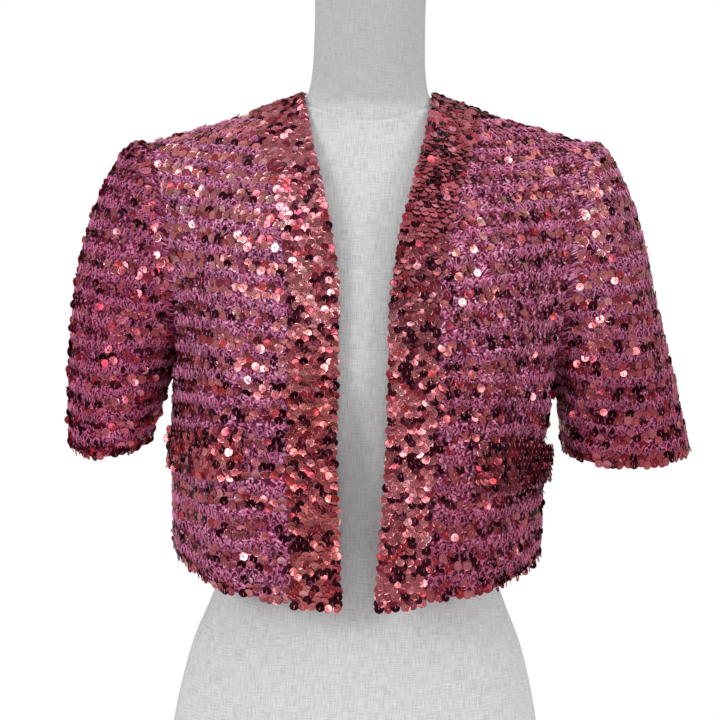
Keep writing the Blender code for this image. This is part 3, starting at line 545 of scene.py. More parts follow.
def sleeve_ring(side, s, count, loop):
    read = lambda name: smooth_column(SLEEVE_ROWS, SLEEVE_COLUMNS, name, s)
    top = np.array([read("x_top_" + side), 0.0, read("z_top_" + side)])
    low = np.array([read("x_low_" + side), 0.0, read("z_low_" + side)])
    depth = read("depth_" + side)
    y_middle = 5.0 * (1 - s)
    dense = np.linspace(0, math.pi, 181)
    power = 2.0 / SLEEVE_SQUARE
    ring = []
    for sign, dip in ((-1, SLEEVE_DIP[side][0]), (1, SLEEVE_DIP[side][1])):
        c, n = np.cos(dense), np.sin(dense)
        c = np.sign(c) * np.abs(c) ** power
        n = np.abs(n) ** power
        arc = (top + low) / 2 + c[:, None] * (top - low) / 2
        arc[:, 1] = y_middle + sign * depth * n
        arc[:, 2] -= dip * smoothstep((s - 0.45) / 0.55) * n * n
        part = along(arc, np.linspace(0, length_of(arc), count + 1))
        ring.append(part if sign < 0 else part[::-1][1:-1])
    ring = np.concatenate(ring)
    if s <= 0:
        return loop
    at = 1 if side == "left" else 5
    first_top = np.array([SLEEVE_ROWS[0][at], 0, SLEEVE_ROWS[0][at + 1]])
    first_low = np.array([SLEEVE_ROWS[0][at + 2], 0, SLEEVE_ROWS[0][at + 3]])
    share = (loop[:, 2] - first_low[2]) / (first_top[2] - first_low[2])
    moved = loop + share[:, None] * (top - first_top) + (1 - share[:, None]) * (low - first_low)
    crown = 3.0 * math.sin(math.pi * min(s / 0.3, 1.0))
    outward = loop - loop.mean(axis=0)
    outward[:, 0] = 0
    outward = units(outward)
    moved = moved + outward * crown * np.clip(share, 0, 1)[:, None]
    mix = smoothstep(s / 0.62)
    return moved * (1 - mix) + ring * mix


# ---------------------------------------------------------------- folds

def fold_field(table, piece, across, along_v, wrap=None):
    """How far folds move each place of a grid out of the surface."""
    u = np.asarray(across, float)[None, :]
    v = np.asarray(along_v, float)[:, None]
    depth = np.zeros((len(along_v), len(across)))
    for name, middle, half_width, start, end, out, drift in table:
        if name != piece:
            continue
        t = (v - start) / (end - start)
        gap = u - (middle + drift * (t - 0.5))
        if wrap:
            gap = (gap + wrap / 2) % wrap - wrap / 2
        inside = (t > 0) & (t < 1)
        depth += np.where(inside, out * np.exp(-((gap / half_width) ** 2) * 2) * np.sin(np.pi * np.clip(t, 0, 1)), 0.0)
    return depth


def grid_normals(grid, closed=False):
    if closed:
        d_col = np.roll(grid, -1, axis=1) - np.roll(grid, 1, axis=1)
    else:
        d_col = np.gradient(grid, axis=1)
    d_row = np.gradient(grid, axis=0)
    return units(np.cross(d_col, d_row))


def add_folds(piece, grid, across, along_v, closed=False, outward=1.0):
    normal = grid_normals(grid, closed) * outward
    large = fold_field(FOLDS, piece, across, along_v, 1.0 if closed else None)
    small = fold_field(CREASES, piece, across, along_v, 1.0 if closed else None)
    if not closed:
        u = np.asarray(across, float)[None, :]
        first, last = u[0, 0], u[0, -1]
        large = large * smoothstep((u - first) / 0.12) * smoothstep((last - u) / 0.12)
        small = small * smoothstep((u - first) / 0.05) * smoothstep((last - u) / 0.05)
    rows = np.asarray(along_v, float)[:, None]
    if closed:
        small = small * smoothstep(rows / 0.03)
    else:
        small = small * smoothstep((2.0 - rows) / 0.05)
    return grid + normal * (large + small)[:, :, None]


# ---------------------------------------------------------------- the panels' outer faces

def body_levels():
    low = np.linspace(0, 1, ROWS_BODY + 1)
    return np.concatenate([low, armhole_levels(ROWS_ARMHOLE)[1:]])


def outer_grids():
    """Outer face of every jacket panel: rows of points, whether closed, and which edges are sewn."""
    levels = body_levels()
    grids = {}
    for side in ("left", "right"):
        outward = 1.0 if side == "right" else -1.0
        band = np.array([band_row(side, v, COLS_BAND) for v in levels])
        band[:4, :, 2] -= 5.0 * np.linspace(1, 0.55, COLS_BAND + 1) * np.array([1, 0.7, 0.4, 0.15])[:, None]
        grids["band_front_" + side] = (band, False, {"u1", "v1"})
        across = np.linspace(0, 1, COLS_PANEL + 1)
        panel = np.array([panel_row(side, v, across) for v in levels])
        grids["front_" + side] = (add_folds("front_" + side, panel, across, levels, outward=outward), False, {"u0", "u1", "v1"})
    back = np.array([back_row(v, COLS_PANEL, COLS_NECK) for v in levels])
    across = back_across(back.shape[1])
    grids["back"] = (add_folds("back", back, across, levels, outward=-1.0), False, {"u0", "u1", "v1"})
    grids["band_neck"] = (neck_band_grid(COLS_BAND, COLS_NECK), False, {"u0", "u1", "v1"})
    for side in ("left", "right"):
        loop = armhole_loop(side, ROWS_ARMHOLE)
        spaced = sleeve_levels()
        rings = np.array([sleeve_ring(side, s, ROWS_ARMHOLE, loop) for s in spaced])
        across = np.arange(rings.shape[1]) / rings.shape[1]
        rings = add_folds("sleeve_" + side, rings, across, spaced, closed=True, outward=-1.0)
        if side == "left":
            rings[:, :, 0] *= -1
        grids["sleeve_" + side] = (rings, True, {"v0"})
    return grids


def back_across(count):
    """Across the back, -1 to 1, with the same share for each part as the coarser panel has."""
    outer = np.linspace(0, 9 / 13, COLS_PANEL + 1)
    inner = np.linspace(9 / 13, 1, COLS_NECK + 1)[1:]
    half = np.concatenate([outer, inner]) - 1
    return np.concatenate([half, -half[-2::-1]])


def sleeve_levels():
    spaced = np.linspace(0, 1, RINGS_SLEEVE + 1)
    return 0.62 * spaced + 0.38 * spaced**2


def leaned(grid):
    out = grid.copy()
    out[..., 2] += LEAN * out[..., 0]
    return out


def clear_of_form(grid, tree, distance):
    """Moves points out along the form's own normals until they are this far off it."""
    flat = grid.reshape(-1, 3)
    for index, point in enumerate(flat):
        near, normal, _, _ = tree.find_nearest(point)
        offset = point - np.array(near)
        normal = np.array(normal)
        gap = float(offset @ normal)
        if gap < distance and offset @ offset < 3600:
            flat[index] = point + normal * (distance - gap)
    return flat.reshape(grid.shape)


def shared_normals(grids):
    """A normal for each point, the same on both pieces where they meet at a seam."""
    names = list(grids)
    total = sum(grids[n][0].shape[0] * grids[n][0].shape[1] for n in names)
    sums = np.zeros((total, 3))
    start = {}
    base = 0
    for name in names:
        grid, closed, _ = grids[name]
        rows, cols = grid.shape[:2]
        start[name] = base
        index = base + np.arange(rows * cols).reshape(rows, cols)
        following = np.roll(index, -1, axis=1) if closed else index[:, 1:]
        here = index if closed else index[:, :-1]
        flat = grid.reshape(-1, 3)
        corner = lambda k: flat[k - base]
        ia, ib, ic, id_ = here[:-1], following[:-1], following[1:], here[1:]
        area = np.cross(corner(ic) - corner(ia), corner(id_) - corner(ib))
        middle = (corner(ia) + corner(ib) + corner(ic) + corner(id_)) / 4
        centre = flat.mean(axis=0)
        axis = np.zeros_like(middle)
        axis[..., 2] = middle[..., 2]
        if closed:
            axis[..., 0], axis[..., 1] = centre[0], centre[1]
        else:
            axis[..., 2] -= 60.0 * (middle[..., 2] > 560)
        if (area * (middle - axis)).sum() < 0:
            area = -area
        for k in (ia, ib, ic, id_):
            np.add.at(sums, k.ravel(), area.reshape(-1, 3))
        base += rows * cols
    tree = KDTree(total)
    places = np.concatenate([grids[n][0].reshape(-1, 3) for n in names])
    borders = []
    for name in names:
        grid, closed, _ = grids[name]
        rows, cols = grid.shape[:2]
        index = start[name] + np.arange(rows * cols).reshape(rows, cols)
        edge = set(index[0]) | set(index[-1])
        if not closed:
            edge |= set(index[:, 0]) | set(index[:, -1])
        borders.extend(int(k) for k in edge)
    for k in borders:
        tree.insert(places[k], k)
    tree.balance()
    joined = sums.copy()
    for k in borders:
        joined[k] = sum(sums[other] for _, other, _ in tree.find_range(places[k], 0.1))
    normals = {}
    for name in names:
        rows, cols = grids[name][0].shape[:2]
        normals[name] = units(joined[start[name]:start[name] + rows * cols]).reshape(rows, cols, 3)
    return normals


def pulled_back(grid, seams):
    out = grid.copy()

    def draw(edge, inner):
        return edge + units(inner - edge) * SEAM_HALF_GAP

    if "v0" in seams:
        out[0] = draw(out[0], out[1])
    if "v1" in seams:
        out[-1] = draw(out[-1], out[-2])
    if "u0" in seams:
        out[:, 0] = draw(out[:, 0], out[:, 1])
    if "u1" in seams:
        out[:, -1] = draw(out[:, -1], out[:, -2])
    return out


def gaps_along(grid, axis, closed=False):
    """Running length along rows (axis 1) or columns (axis 0) of a grid of points."""
    steps = np.linalg.norm(np.diff(grid, axis=axis), axis=2)
    if axis == 1:
        return np.concatenate([np.zeros((grid.shape[0], 1)), np.cumsum(steps, axis=1)], axis=1)
    return np.concatenate([np.zeros((1, grid.shape[1])), np.cumsum(steps, axis=0)], axis=0)


def row_coordinate(name, grid):
    """How many millimetres of knitting lie under each point of a panel, from the hem."""
    climb = gaps_along(grid, 0)
    if name.startswith("sleeve"):
        return climb[-1][None, :] - climb
    if name == "band_neck":
        return climb
    levels = body_levels()
    mean = climb.mean(axis=1)
    if name.startswith("band"):
        return np.repeat(mean[:, None], grid.shape[1], axis=1)
    # Low down the rows follow the hem; over the chest and the shoulder blades they lie nearly level.
    turn = int(np.argmin(np.abs(levels - 1.0)))
    middle = grid.shape[1] // (4 if name == "back" else 2)
    height = grid[..., 2] - LEAN * grid[..., 0] - ROW_FALL[name.split("_")[0]] * (np.abs(grid[..., 0]) - 120.0)
    guide = height[:, middle]
    counted = np.where(
        np.arange(len(levels)) <= turn, BODY_ROWS, BODY_ROWS[turn] + climb[:, middle] - climb[turn, middle]
    )
    slope = (counted[-1] - counted[-8]) / (guide[-1] - guide[-8])
    level = np.interp(
        height,
        np.concatenate([[guide[0] - 60.0], guide, [guide[-1] + 60.0]]),
        np.concatenate([[counted[0] - 60.0], counted, [counted[-1] + 60.0 * min(max(slope, 1.0), 1.6)]]),
    )
    mix = smoothstep((levels - 0.62) / 0.60)[:, None]
    rows = counted[:, None] * (1 - mix) + level * mix
    return np.maximum.accumulate(rows, axis=0) + np.arange(len(levels))[:, None] * 1e-5


def across_coordinate(name, grid, closed):
    """Millimetres across a panel at each point: from the band seam, the back's middle or a sleeve's top."""
    run = gaps_along(grid, 1)
    if name == "back":
        middle = grid.shape[1] // 2
        return run - run[:, middle:middle + 1]
    return run


# ---------------------------------------------------------------- meshes

WORLD_SHIFT = np.array([-CENTRE_X, -CENTRE_Y, 0.0])


def to_world(points):
    return (np.asarray(points, float) + WORLD_SHIFT) * MM


def link(mesh, name):
    thing = bpy.data.objects.new(name, mesh)
    bpy.context.scene.collection.objects.link(thing)
    return thing


def quick_mesh(name, points, faces, uv=None, smooth=True):
    """Mesh from points (world metres) and equal-sized faces (an integer array)."""
    faces = np.asarray(faces, np.int32)
    mesh = bpy.data.meshes.new(name)
    mesh.vertices.add(len(points))
    mesh.vertices.foreach_set("co", np.asarray(points, np.float32).ravel())
    size = faces.shape[1]
    mesh.loops.add(faces.size)
    mesh.loops.foreach_set("vertex_index", faces.ravel())
    mesh.polygons.add(len(faces))
    mesh.polygons.foreach_set("loop_start", np.arange(0, faces.size, size, dtype=np.int32))
    mesh.polygons.foreach_set("loop_total", np.full(len(faces), size, np.int32))
    mesh.polygons.foreach_set("use_smooth", np.full(len(faces), smooth))
    if uv is not None:
        layer = mesh.uv_layers.new(name="cloth")
        layer.data.foreach_set("uv", np.asarray(uv, np.float32)[faces.ravel()].ravel())
    mesh.update(calc_edges=True)
    mesh.validate()
    return mesh


def wall_arrays(outer, inner, closed):
    """Closed wall between two grids of the same size: points and quads."""
    rows, cols = outer.shape[:2]
    points = np.concatenate([outer.reshape(-1, 3), inner.reshape(-1, 3)])
    half = rows * cols
    index = np.arange(half).reshape(rows, cols)
    if closed:
        here, following = index, np.roll(index, -1, axis=1)
    else:
        here, following = index[:, :-1], index[:, 1:]
    a, b, c, d = here[:-1], following[:-1], following[1:], here[1:]
    faces = [np.stack([a, b, c, d], axis=-1).reshape(-1, 4)]
    faces.append(np.stack([a, d, c, b], axis=-1).reshape(-1, 4) + half)
    p, q = here[0], following[0]
    faces.append(np.stack([q, p, p + half, q + half], axis=-1))
    p, q = here[-1], following[-1]
    faces.append(np.stack([p, q, q + half, p + half], axis=-1))
    if not closed:
        p, q = index[:-1, 0], index[1:, 0]
        faces.append(np.stack([p, q, q + half, p + half], axis=-1))
        p, q = index[:-1, -1], index[1:, -1]
        faces.append(np.stack([q, p, p + half, q + half], axis=-1))
    return points, np.concatenate(faces)


def facing_out(points, faces):
    """Turns all faces round if the closed mesh is inside out."""
    a, b, c, d = (points[faces[:, k]] for k in range(4))
    volume = np.einsum("ij,ij->i", a, np.cross(b, c)).sum() + np.einsum("ij,ij->i", a, np.cross(c, d)).sum()
    return faces[:, ::-1] if volume < 0 else faces


# ---------------------------------------------------------------- sequins, threads and strands

def levels_of(panel, value):
    """The line of one row coordinate on a panel: runs of points with normal and up direction."""
    grid, normal, rows, closed = panel["grid"], panel["normal"], panel["rows"], panel["closed"]
    cols = grid.shape[1]
    order = 1 if rows[-1].mean() > rows[0].mean() else -1
    points = np.zeros((cols, 3))
    normals = np.zeros((cols, 3))
    upper = np.zeros((cols, 3))
    inside = np.zeros(cols, bool)
    for j in range(cols):
        r = rows[::order, j]
        inside[j] = r[0] - 0.05 <= value <= r[-1] + 0.05
        for k in range(3):
            column = grid[::order, j, k]
            points[j, k] = np.interp(value, r, column)
            normals[j, k] = np.interp(value, r, normal[::order, j, k])
            if value + 1.5 <= r[-1]:
                upper[j, k] = np.interp(value + 1.5, r, column) - points[j, k]
            else:
                upper[j, k] = points[j, k] - np.interp(value - 1.5, r, column)
    runs = []
    if closed:
        if inside.all():
            order = np.r_[0:cols, 0]
            return [(points[order], normals[order], upper[order], True)]
        first = int(np.argmin(inside))
        order = (np.arange(cols) + first) % cols
    else:
        order = np.arange(cols)
    start = None
    for place, j in enumerate(list(order) + [None]):
        good = j is not None and inside[j]
        if good and start is None:
            start = place
        if not good and start is not None:
            chosen = order[start:place]
            if len(chosen) > 2:
                runs.append((points[chosen], normals[chosen], upper[chosen], False))
            start = None
    return runs


def spots_on(run, lengths):
    """Points, normals, along and up directions at these lengths of a run."""
    points, normals, upper, _ = run
    steps = np.linalg.norm(np.diff(points, axis=0), axis=1)
    total = np.concatenate([[0.0], np.cumsum(steps)])
    pick = lambda values, at: np.stack([np.interp(at, total, values[:, k]) for k in range(3)], axis=1)
    p = pick(points, lengths)
    n = units(pick(normals, lengths))
    t = pick(points, np.minimum(lengths + 0.8, total[-1])) - pick(points, np.maximum(lengths - 0.8, 0))
    t = units(t - n * (t * n).sum(axis=1, keepdims=True))
    u = pick(upper, lengths)
    b = np.cross(n, t)
    flip = np.where((b * u).sum(axis=1, keepdims=True) < 0, -1.0, 1.0)
    return p, n, t * flip, b * flip


def run_length(run):
    return float(np.linalg.norm(np.diff(run[0], axis=0), axis=1).sum())


# The foil's own rose colours, and painted reflections: the palest sequins stand for mirrored light, the dark maroon and
# near-black ones for the dark room, the red ones for light bounced between sequins.
FOIL_AND_PAINTED_REFLECTIONS = (
    # share, colour
    (0.48, (0.590, 0.185, 0.200)),
    (0.15, (0.640, 0.235, 0.245)),
    (0.06, (0.740, 0.360, 0.375)),
    (0.13, (0.360, 0.055, 0.080)),
    (0.13, (0.042, 0.005, 0.012)),
    (0.05, (0.560, 0.080, 0.085)),
)
PAINTED_DARK_REFLECTION = 4


# Painted light and shade: a colour multiplier for each panel low down and high up, and half way where it is not between
# them.
PAINTED_LIGHT_CASTS = {
    "front_left": ((0.98, 0.80, 0.86), (1.06, 1.08, 1.06)),
    "front_right": ((0.75, 0.45, 0.49), (1.16, 1.14, 1.08)),
    "band_front_left": ((0.86, 0.72, 0.66), (1.16, 1.40, 1.38), (0.60, 0.64, 0.70)),
    "band_front_right": ((0.76, 0.73, 0.75), (0.38, 0.37, 0.39), (0.76, 0.62, 0.73)),
    "sleeve_left": ((0.96, 0.57, 0.70), (0.92, 0.66, 0.75)),
    "sleeve_right": ((0.78, 0.45, 0.52), (1.02, 1.02, 1.00)),
    "pocket_welt_right": ((0.46, 0.27, 0.31), (0.46, 0.27, 0.31)),
    "pocket_welt_left": ((1.16, 1.02, 1.00), (1.16, 1.02, 1.00)),
    "back": ((0.94, 0.74, 0.80), (1.00, 0.88, 0.92)),
}
PLAIN = ((1.0, 1.0, 1.0), (1.0, 1.0, 1.0))
FOIL_CAST = (1.04, 1.26, 1.20)      # sequins on the knit are browner than it
YARN_CAST = (0.85, 0.84, 0.83)


def shaded(pair, factor):
    return tuple(tuple(c * f for c, f in zip(colour, factor)) for colour in pair)


def wave(a, k, seed):
    """A slow uneven drift along a row, in millimetres."""
    return (
        1.05 * np.sin(a / 31.0 + 1.7 * k + seed)
        + 0.85 * np.sin(a / 13.3 + 2.9 * k + 1.3 * seed)
        + 0.55 * np.sin(a / 6.1 + 0.8 * k + 2.1 * seed)
    )


class Bits:
    """Collects sequins and their threads, or strands, as arrays of one joined mesh."""

    def __init__(self, seed, *painted_light_shades):
        self.rng = np.random.default_rng(seed)
        self.low, self.high = np.array(painted_light_shades[0]), np.array(painted_light_shades[-1])
        self.middle = np.array(painted_light_shades[1]) if len(painted_light_shades) == 3 else None
        self.points, self.faces, self.tints, self.kinds, self.count = [], [], [], [], 0

    def painted_light_at(self, points):
        """Painted light and shade at each height: a colour multiplier from its lower shade to its upper one."""
        share = smoothstep((points[:, 2:3] - 360.0) / 230.0)
        if self.middle is None:
            return self.low * (1 - share) + self.high * share
        return np.where(
            share < 0.5,
            self.low * (1 - 2 * share) + self.middle * 2 * share,
            self.middle * (2 - 2 * share) + self.high * (2 * share - 1),
        )

    def add(self, points, faces, tints, kind):
        self.points.append(points.reshape(-1, 3))
        self.faces.append(faces + self.count)
        self.tints.append(tints)
        self.kinds.append(np.full(len(faces), kind))
        self.count += points.reshape(-1, 3).shape[0]

    def sequins(self, p, n, t, b, radius, tilt, lift, spread=(5.2, 5.2), wild=0.20, thread=True, loose=0.7, yaw=0.0):
        """Cupped discs with a hole. tilt > 0 turns the face down, so that the upper edge stands off."""
        rng = self.rng
        count = len(p)
        if not count:
            return
        wide = np.where(rng.random(count) < wild, 3.2, 1.0)
        a = np.radians(tilt + rng.normal(0, spread[0], count) * wide)[:, None]
        c = np.radians(yaw + rng.normal(0, spread[1], count) * wide)[:, None]
        n2 = units(n * np.cos(a) - b * np.sin(a))
        b2 = units(np.cross(n2, t))
        n3 = units(n2 * np.cos(c) + t * np.sin(c))
        t3 = units(np.cross(b2, n3))
        b3 = np.cross(n3, t3)
        size = radius * rng.uniform(0.93, 1.06, (count, 1, 1))
        spin = rng.uniform(0, 2 * math.pi, count)[:, None]
        centre = (
            p + n * (lift + rng.uniform(-0.15, 0.35, (count, 1)))
            + t * rng.normal(0, loose, (count, 1)) + b * rng.normal(0, loose, (count, 1))
        )
        segments = 10
        rings = ((1.0, 0.0), (0.85, -0.024), (0.14, -0.044))
        made = []
        for share, deep in rings:
            angle = spin + np.linspace(0, 2 * math.pi, segments, endpoint=False)[None, :]
            local = (
                np.cos(angle)[:, :, None] * t3[:, None, :] + np.sin(angle)[:, :, None] * b3[:, None, :]
            ) * share + n3[:, None, :] * deep
            made.append(centre[:, None, :] + local * size)
        points = np.stack(made, axis=1).reshape(count, -1, 3)
        faces = []
        for ring in range(2):
            for k in range(segments):
                m = (k + 1) % segments
                faces.append((ring * segments + k, ring * segments + m, (ring + 1) * segments + m, (ring + 1) * segments + k))
        faces = np.array(faces)[None, :, :] + (np.arange(count) * 3 * segments)[:, None, None]
        # Sequin colours: each takes one from the palette, painted reflections among them; low down more near-black ones
        # are put in as painted shade; last the panel's painted light and shade by height is multiplied in.
        weights = np.array([w for w, _ in FOIL_AND_PAINTED_REFLECTIONS])
        kind = rng.choice(len(FOIL_AND_PAINTED_REFLECTIONS), count, p=weights / weights.sum())
        painted_shade_low_down = 1 - smoothstep((p[:, 2] - 360.0) / 230.0)
        kind = np.where(rng.random(count) < 0.15 * painted_shade_low_down, PAINTED_DARK_REFLECTION, kind)
        tint = np.array([c for _, c in FOIL_AND_PAINTED_REFLECTIONS])[kind] * rng.uniform(0.86, 1.14, (count, 1))
        tint = np.repeat(tint * self.painted_light_at(p), 3 * segments, axis=0)
        self.add(points, faces.reshape(-1, 4), tint, 0)
        if thread:
            self.threads(centre, n3, t3, b3, size[:, 0], -np.sign(tilt) if tilt else 1.0)

    def threads(self, centre, n, t, b, size, way):
        """One flat stitch from each hole to a free edge."""
        count = len(centre)
        direction = units(b * way + t * self.rng.normal(0, 0.25, (count, 1)))
        side = units(np.cross(n, direction))
        start = centre - n * size * 0.02
        middle = centre + direction * size * 0.3 + n * size * 0.05
        end = centre + direction * size * 0.62 + n * size * 0.01
        width = 0.24
        points = []
        for spot in (start, middle, end):
            points.extend([spot + side * width, spot + n * width * 1.4, spot - side * width])
        points = np.stack(points, axis=1)
        faces = []
        for ring in range(2):
            for k in range(3):
                m = (k + 1) % 3
                faces.append((ring * 3 + k, ring * 3 + m, (ring + 1) * 3 + m, (ring + 1) * 3 + k))
        faces = np.array(faces)[None, :, :] + (np.arange(count) * 9)[:, None, None]
        tint = np.repeat(np.array([[0.46, 0.13, 0.18]]), count * 9, axis=0)
        self.add(points, faces.reshape(-1, 4), tint, 1)

    def strand(self, line, normal, radius, tint, sides=3):
        """A tube of yarn along a line."""
        t = units(np.gradient(line, axis=0))
        s = units(np.cross(t, normal))
        n = np.cross(s, t)
        angle = np.linspace(0, 2 * math.pi, sides, endpoint=False) + math.pi / 2
        ring = (
            np.cos(angle)[None, :, None] * s[:, None, :] + np.sin(angle)[None, :, None] * n[:, None, :]
        ) * radius
        points = line[:, None, :] + ring
        index = np.arange(len(line) * sides).reshape(len(line), sides)
        following = np.roll(index, -1, axis=1)
        faces = np.stack([index[:-1], following[:-1], following[1:], index[1:]], axis=-1).reshape(-1, 4)
        # Painted light and shade by height from the panel, times random lighter and darker stretches; the changes from
        # point to point are a painted twinkle of the lurex.
        slow = np.interp(np.arange(len(line)), np.arange(0, len(line) + 9, 9), self.rng.uniform(0.38, 1.25, len(line) // 9 + 1 + (len(line) % 9 > 0)))
        shade = np.array([tint]) * self.painted_light_at(line) * (slow * self.rng.uniform(0.70, 1.25, len(line)))[:, None]
        self.add(points, faces, np.repeat(shade, sides, axis=0), 0)

    def build(self, name, materials, smooth=True):
        points = to_world(np.concatenate(self.points))
        faces = np.concatenate(self.faces)
        mesh = quick_mesh(name, points, faces, smooth=smooth)
        tint = mesh.attributes.new("tint", "FLOAT_COLOR", "POINT")
        colours = np.concatenate(self.tints)
        tint.data.foreach_set("color", np.concatenate([colours, np.ones((len(colours), 1))], axis=1).astype(np.float32).ravel())
        for material in materials:
            mesh.materials.append(material)
        kinds = np.concatenate(self.kinds).astype(np.int32)
        if len(mesh.polygons) == len(kinds):
            mesh.polygons.foreach_set("material_index", kinds)
        thing = link(mesh, name)
        return thing


def sequin_rows(bits, panel, repeat, first, tilt, pitch=PITCH, start=0.0, yaw=0.0, spread=(5.5, 5.5)):
    """The staggered sub-rows of every repeat, up to where the panel ends."""
    rows = panel["rows"]
    top = rows.max()
    k = 0
    while first + k * repeat < top:
        for number, sub in enumerate(SUB_ROWS):
            value = first + k * repeat + sub
            if value > top - 1.5:
                continue
            hem = value < 0.5
            sparse = number == 2
            for run in levels_of(panel, max(value, 0.8)):
                length = run_length(run)
                if length < 6:
                    continue
                closed = run[3]
                count = max(1, int(round(length / (5.9 if hem else pitch))))
                step = length / count
                phase = start + 0.5 * (number % 2) * step + 0.31 * k * step
                at = (phase + np.arange(count) * step) % length
                if not closed:
                    at = at[(at > 1.2) & (at < length - 1.2)]
                at = at[bits.rng.random(len(at)) > (0.68 if sparse else 0.09)]
                p, n, t, b = spots_on(run, at)
                away = wave(at, k, panel["seed"]) * (0.35 if hem else 1.0)
                p = p + b * away[:, None]
                bits.sequins(p, n, t, b, SEQUIN_RADIUS, tilt, 0.75, spread=spread, yaw=yaw)
        k += 1


def knit_strands(bits, panel, repeat, first):
    """The shells of knit between two bands of sequins: arched strands, and bolder ones between them."""
    rows = panel["rows"]
    top = rows.max()
    rng = bits.rng
    # row in the repeat, swing, power of the arch, phase, samples a shell, lift, radius, shade
    kinds = (
        (16.2, 8.2, 0.62, 0.0, 10, 0.60, 0.55, (0.96, 0.300, 0.570)),
        (12.4, 2.8, 1.0, 0.5, 6, 0.50, 0.46, (0.70, 0.140, 0.340)),
    )
    k = -1
    while first + k * repeat < top:
        base = first + k * repeat
        for at_row, swing, power, phase, samples, lift, radius, shade in kinds:
            value = base + at_row
            reach = abs(swing) / 2
            if value - reach < 0.6 or value + reach > top - 0.3:
                continue
            for run in levels_of(panel, value):
                length = run_length(run)
                if length < 12:
                    continue
                lengths = np.arange(0.4, length - 0.4, CELL / samples)
                p, n, t, b = spots_on(run, lengths)
                cell = lengths / CELL + phase + 0.5 * (k % 2) + 0.14 * np.sin(lengths / 19.0 + k)
                arch = np.abs(np.sin(np.pi * cell)) ** power
                sway = (arch - 0.55) * swing + wave(lengths, k, panel["seed"]) + rng.normal(0, 0.22, len(lengths))
                out = lift + 0.45 * arch + rng.normal(0, 0.10, len(lengths))
                line = p + b * sway[:, None] + n * out[:, None] + t * rng.normal(0, 0.15, (len(lengths), 1))
                bits.strand(line, n, radius, shade)
        value = base + 16.2
        if 5.0 < value < top - 5.0:
            for run in levels_of(panel, value):
                length = run_length(run)
                spots = np.arange(3.0 + (k % 3) * 4.1, length - 4.0, CELL)
                spots = spots[rng.random(len(spots)) < 0.34]
                if not len(spots):
                    continue
                spots = spots + rng.normal(0, 1.2, len(spots))
                p, n, t, b = spots_on(run, spots)
                drift = wave(spots, k, panel["seed"])
                for i in range(len(p)):
                    low, high = -rng.uniform(2.2, 5.4), rng.uniform(2.2, 5.0)
                    climb = np.linspace(low, high, 5)
                    bend = rng.normal(0, 1.1) * np.sin(np.linspace(0, math.pi, 5)) + rng.normal(0, 0.7) * np.linspace(-1, 1, 5)
                    line = (
                        p[i] + b[i] * (climb + drift[i])[:, None] + t[i] * bend[:, None]
                        + n[i] * np.array([0.35, 0.95, 1.1, 0.95, 0.35])[:, None]
                    )
                    bits.strand(line, np.repeat(n[i][None, :], 5, axis=0), 0.52, (0.98, 0.420, 0.680))
        k += 1


def scale_rows(bits, panel, pitch_up, pitch_across, tilt, overhang_low, overhang_side, spread=(5.0, 5.0), side_low=0.0, radius=SEQUIN_RADIUS, lift=0.85, tilt_high=None):
    """Fish-scale rows across a band: each row is staggered by half a sequin."""
    rows = panel["rows"]
    top = rows.max()
    value = pitch_up * 0.5 - overhang_low
    number = 0
    while value < top - 1.0:
        for run in levels_of(panel, min(max(value, 0.02), top)):
            length = run_length(run)
            first = radius - overhang_side
            last = length - radius * 0.7 + side_low
            count = max(2, int(round((last - first) / pitch_across)) + 1)
            at = np.linspace(first, last, count)
            if number % 2:
                at = (at[:-1] + at[1:]) / 2
                at = np.concatenate([[first - pitch_across * 0.18], at])
            p, n, t, b = spots_on(run, np.clip(at, 0.0, length))
            direction = spots_on(run, np.array([0.5]))
            along_way = run[0][-1] - run[0][0]
            way = np.sign((t * along_way).sum(axis=1, keepdims=True))
            p = p + t * way * (at - np.clip(at, 0.0, length))[:, None]
            p = p + b * min(value, 0.0)
            lean = tilt
            if tilt_high is not None:
                tall = float(p[:, 2].mean())
                lean = tilt + (tilt_high - tilt) * float(smoothstep((tall - 410.0) / 110.0))
                lean = lean + 0.9 * abs(lean) * float(smoothstep((tall - 585.0) / 50.0))
            bits.sequins(p, n, t, b, radius, lean, lift, spread=spread, loose=0.45)
        value += pitch_up
        number += 1


# ---------------------------------------------------------------- materials

class Nodes:
    """A short way to make a node tree."""

    def __init__(self, tree):
        self.tree = tree
        tree.nodes.clear()

    def add(self, kind, inputs=None, **settings):
        node = self.tree.nodes.new(kind)
        for key, value in settings.items():
            setattr(node, key, value)
        for key, value in (inputs or {}).items():
            socket = node.inputs[key]
            if isinstance(value, bpy.types.NodeSocket):
                self.tree.links.new(value, socket)
            else:
                socket.default_value = value
        return node

    def math(self, operation, a, b=0.0, clamp=False):
        return self.add("ShaderNodeMath", {0: a, 1: b}, operation=operation, use_clamp=clamp).outputs[0]

    def mix(self, factor, a, b):
        node = self.add("ShaderNodeMix", {0: factor}, data_type="RGBA")
        for socket, value in ((node.inputs[6], a), (node.inputs[7], b)):
            if isinstance(value, bpy.types.NodeSocket):
                self.tree.links.new(value, socket)
            else:
                socket.default_value = value
        return node.outputs[2]

    def ramp(self, factor, stops, interpolation="LINEAR"):
        node = self.add("ShaderNodeValToRGB", {0: factor})
        node.color_ramp.interpolation = interpolation
        elements = node.color_ramp.elements
        while len(elements) < len(stops):
            elements.new(0.5)
        for element, (place, colour) in zip(elements, stops):
            element.position = place
            element.color = colour
        return node.outputs[0]


def rgba(r, g, b):
    return (r, g, b, 1.0)


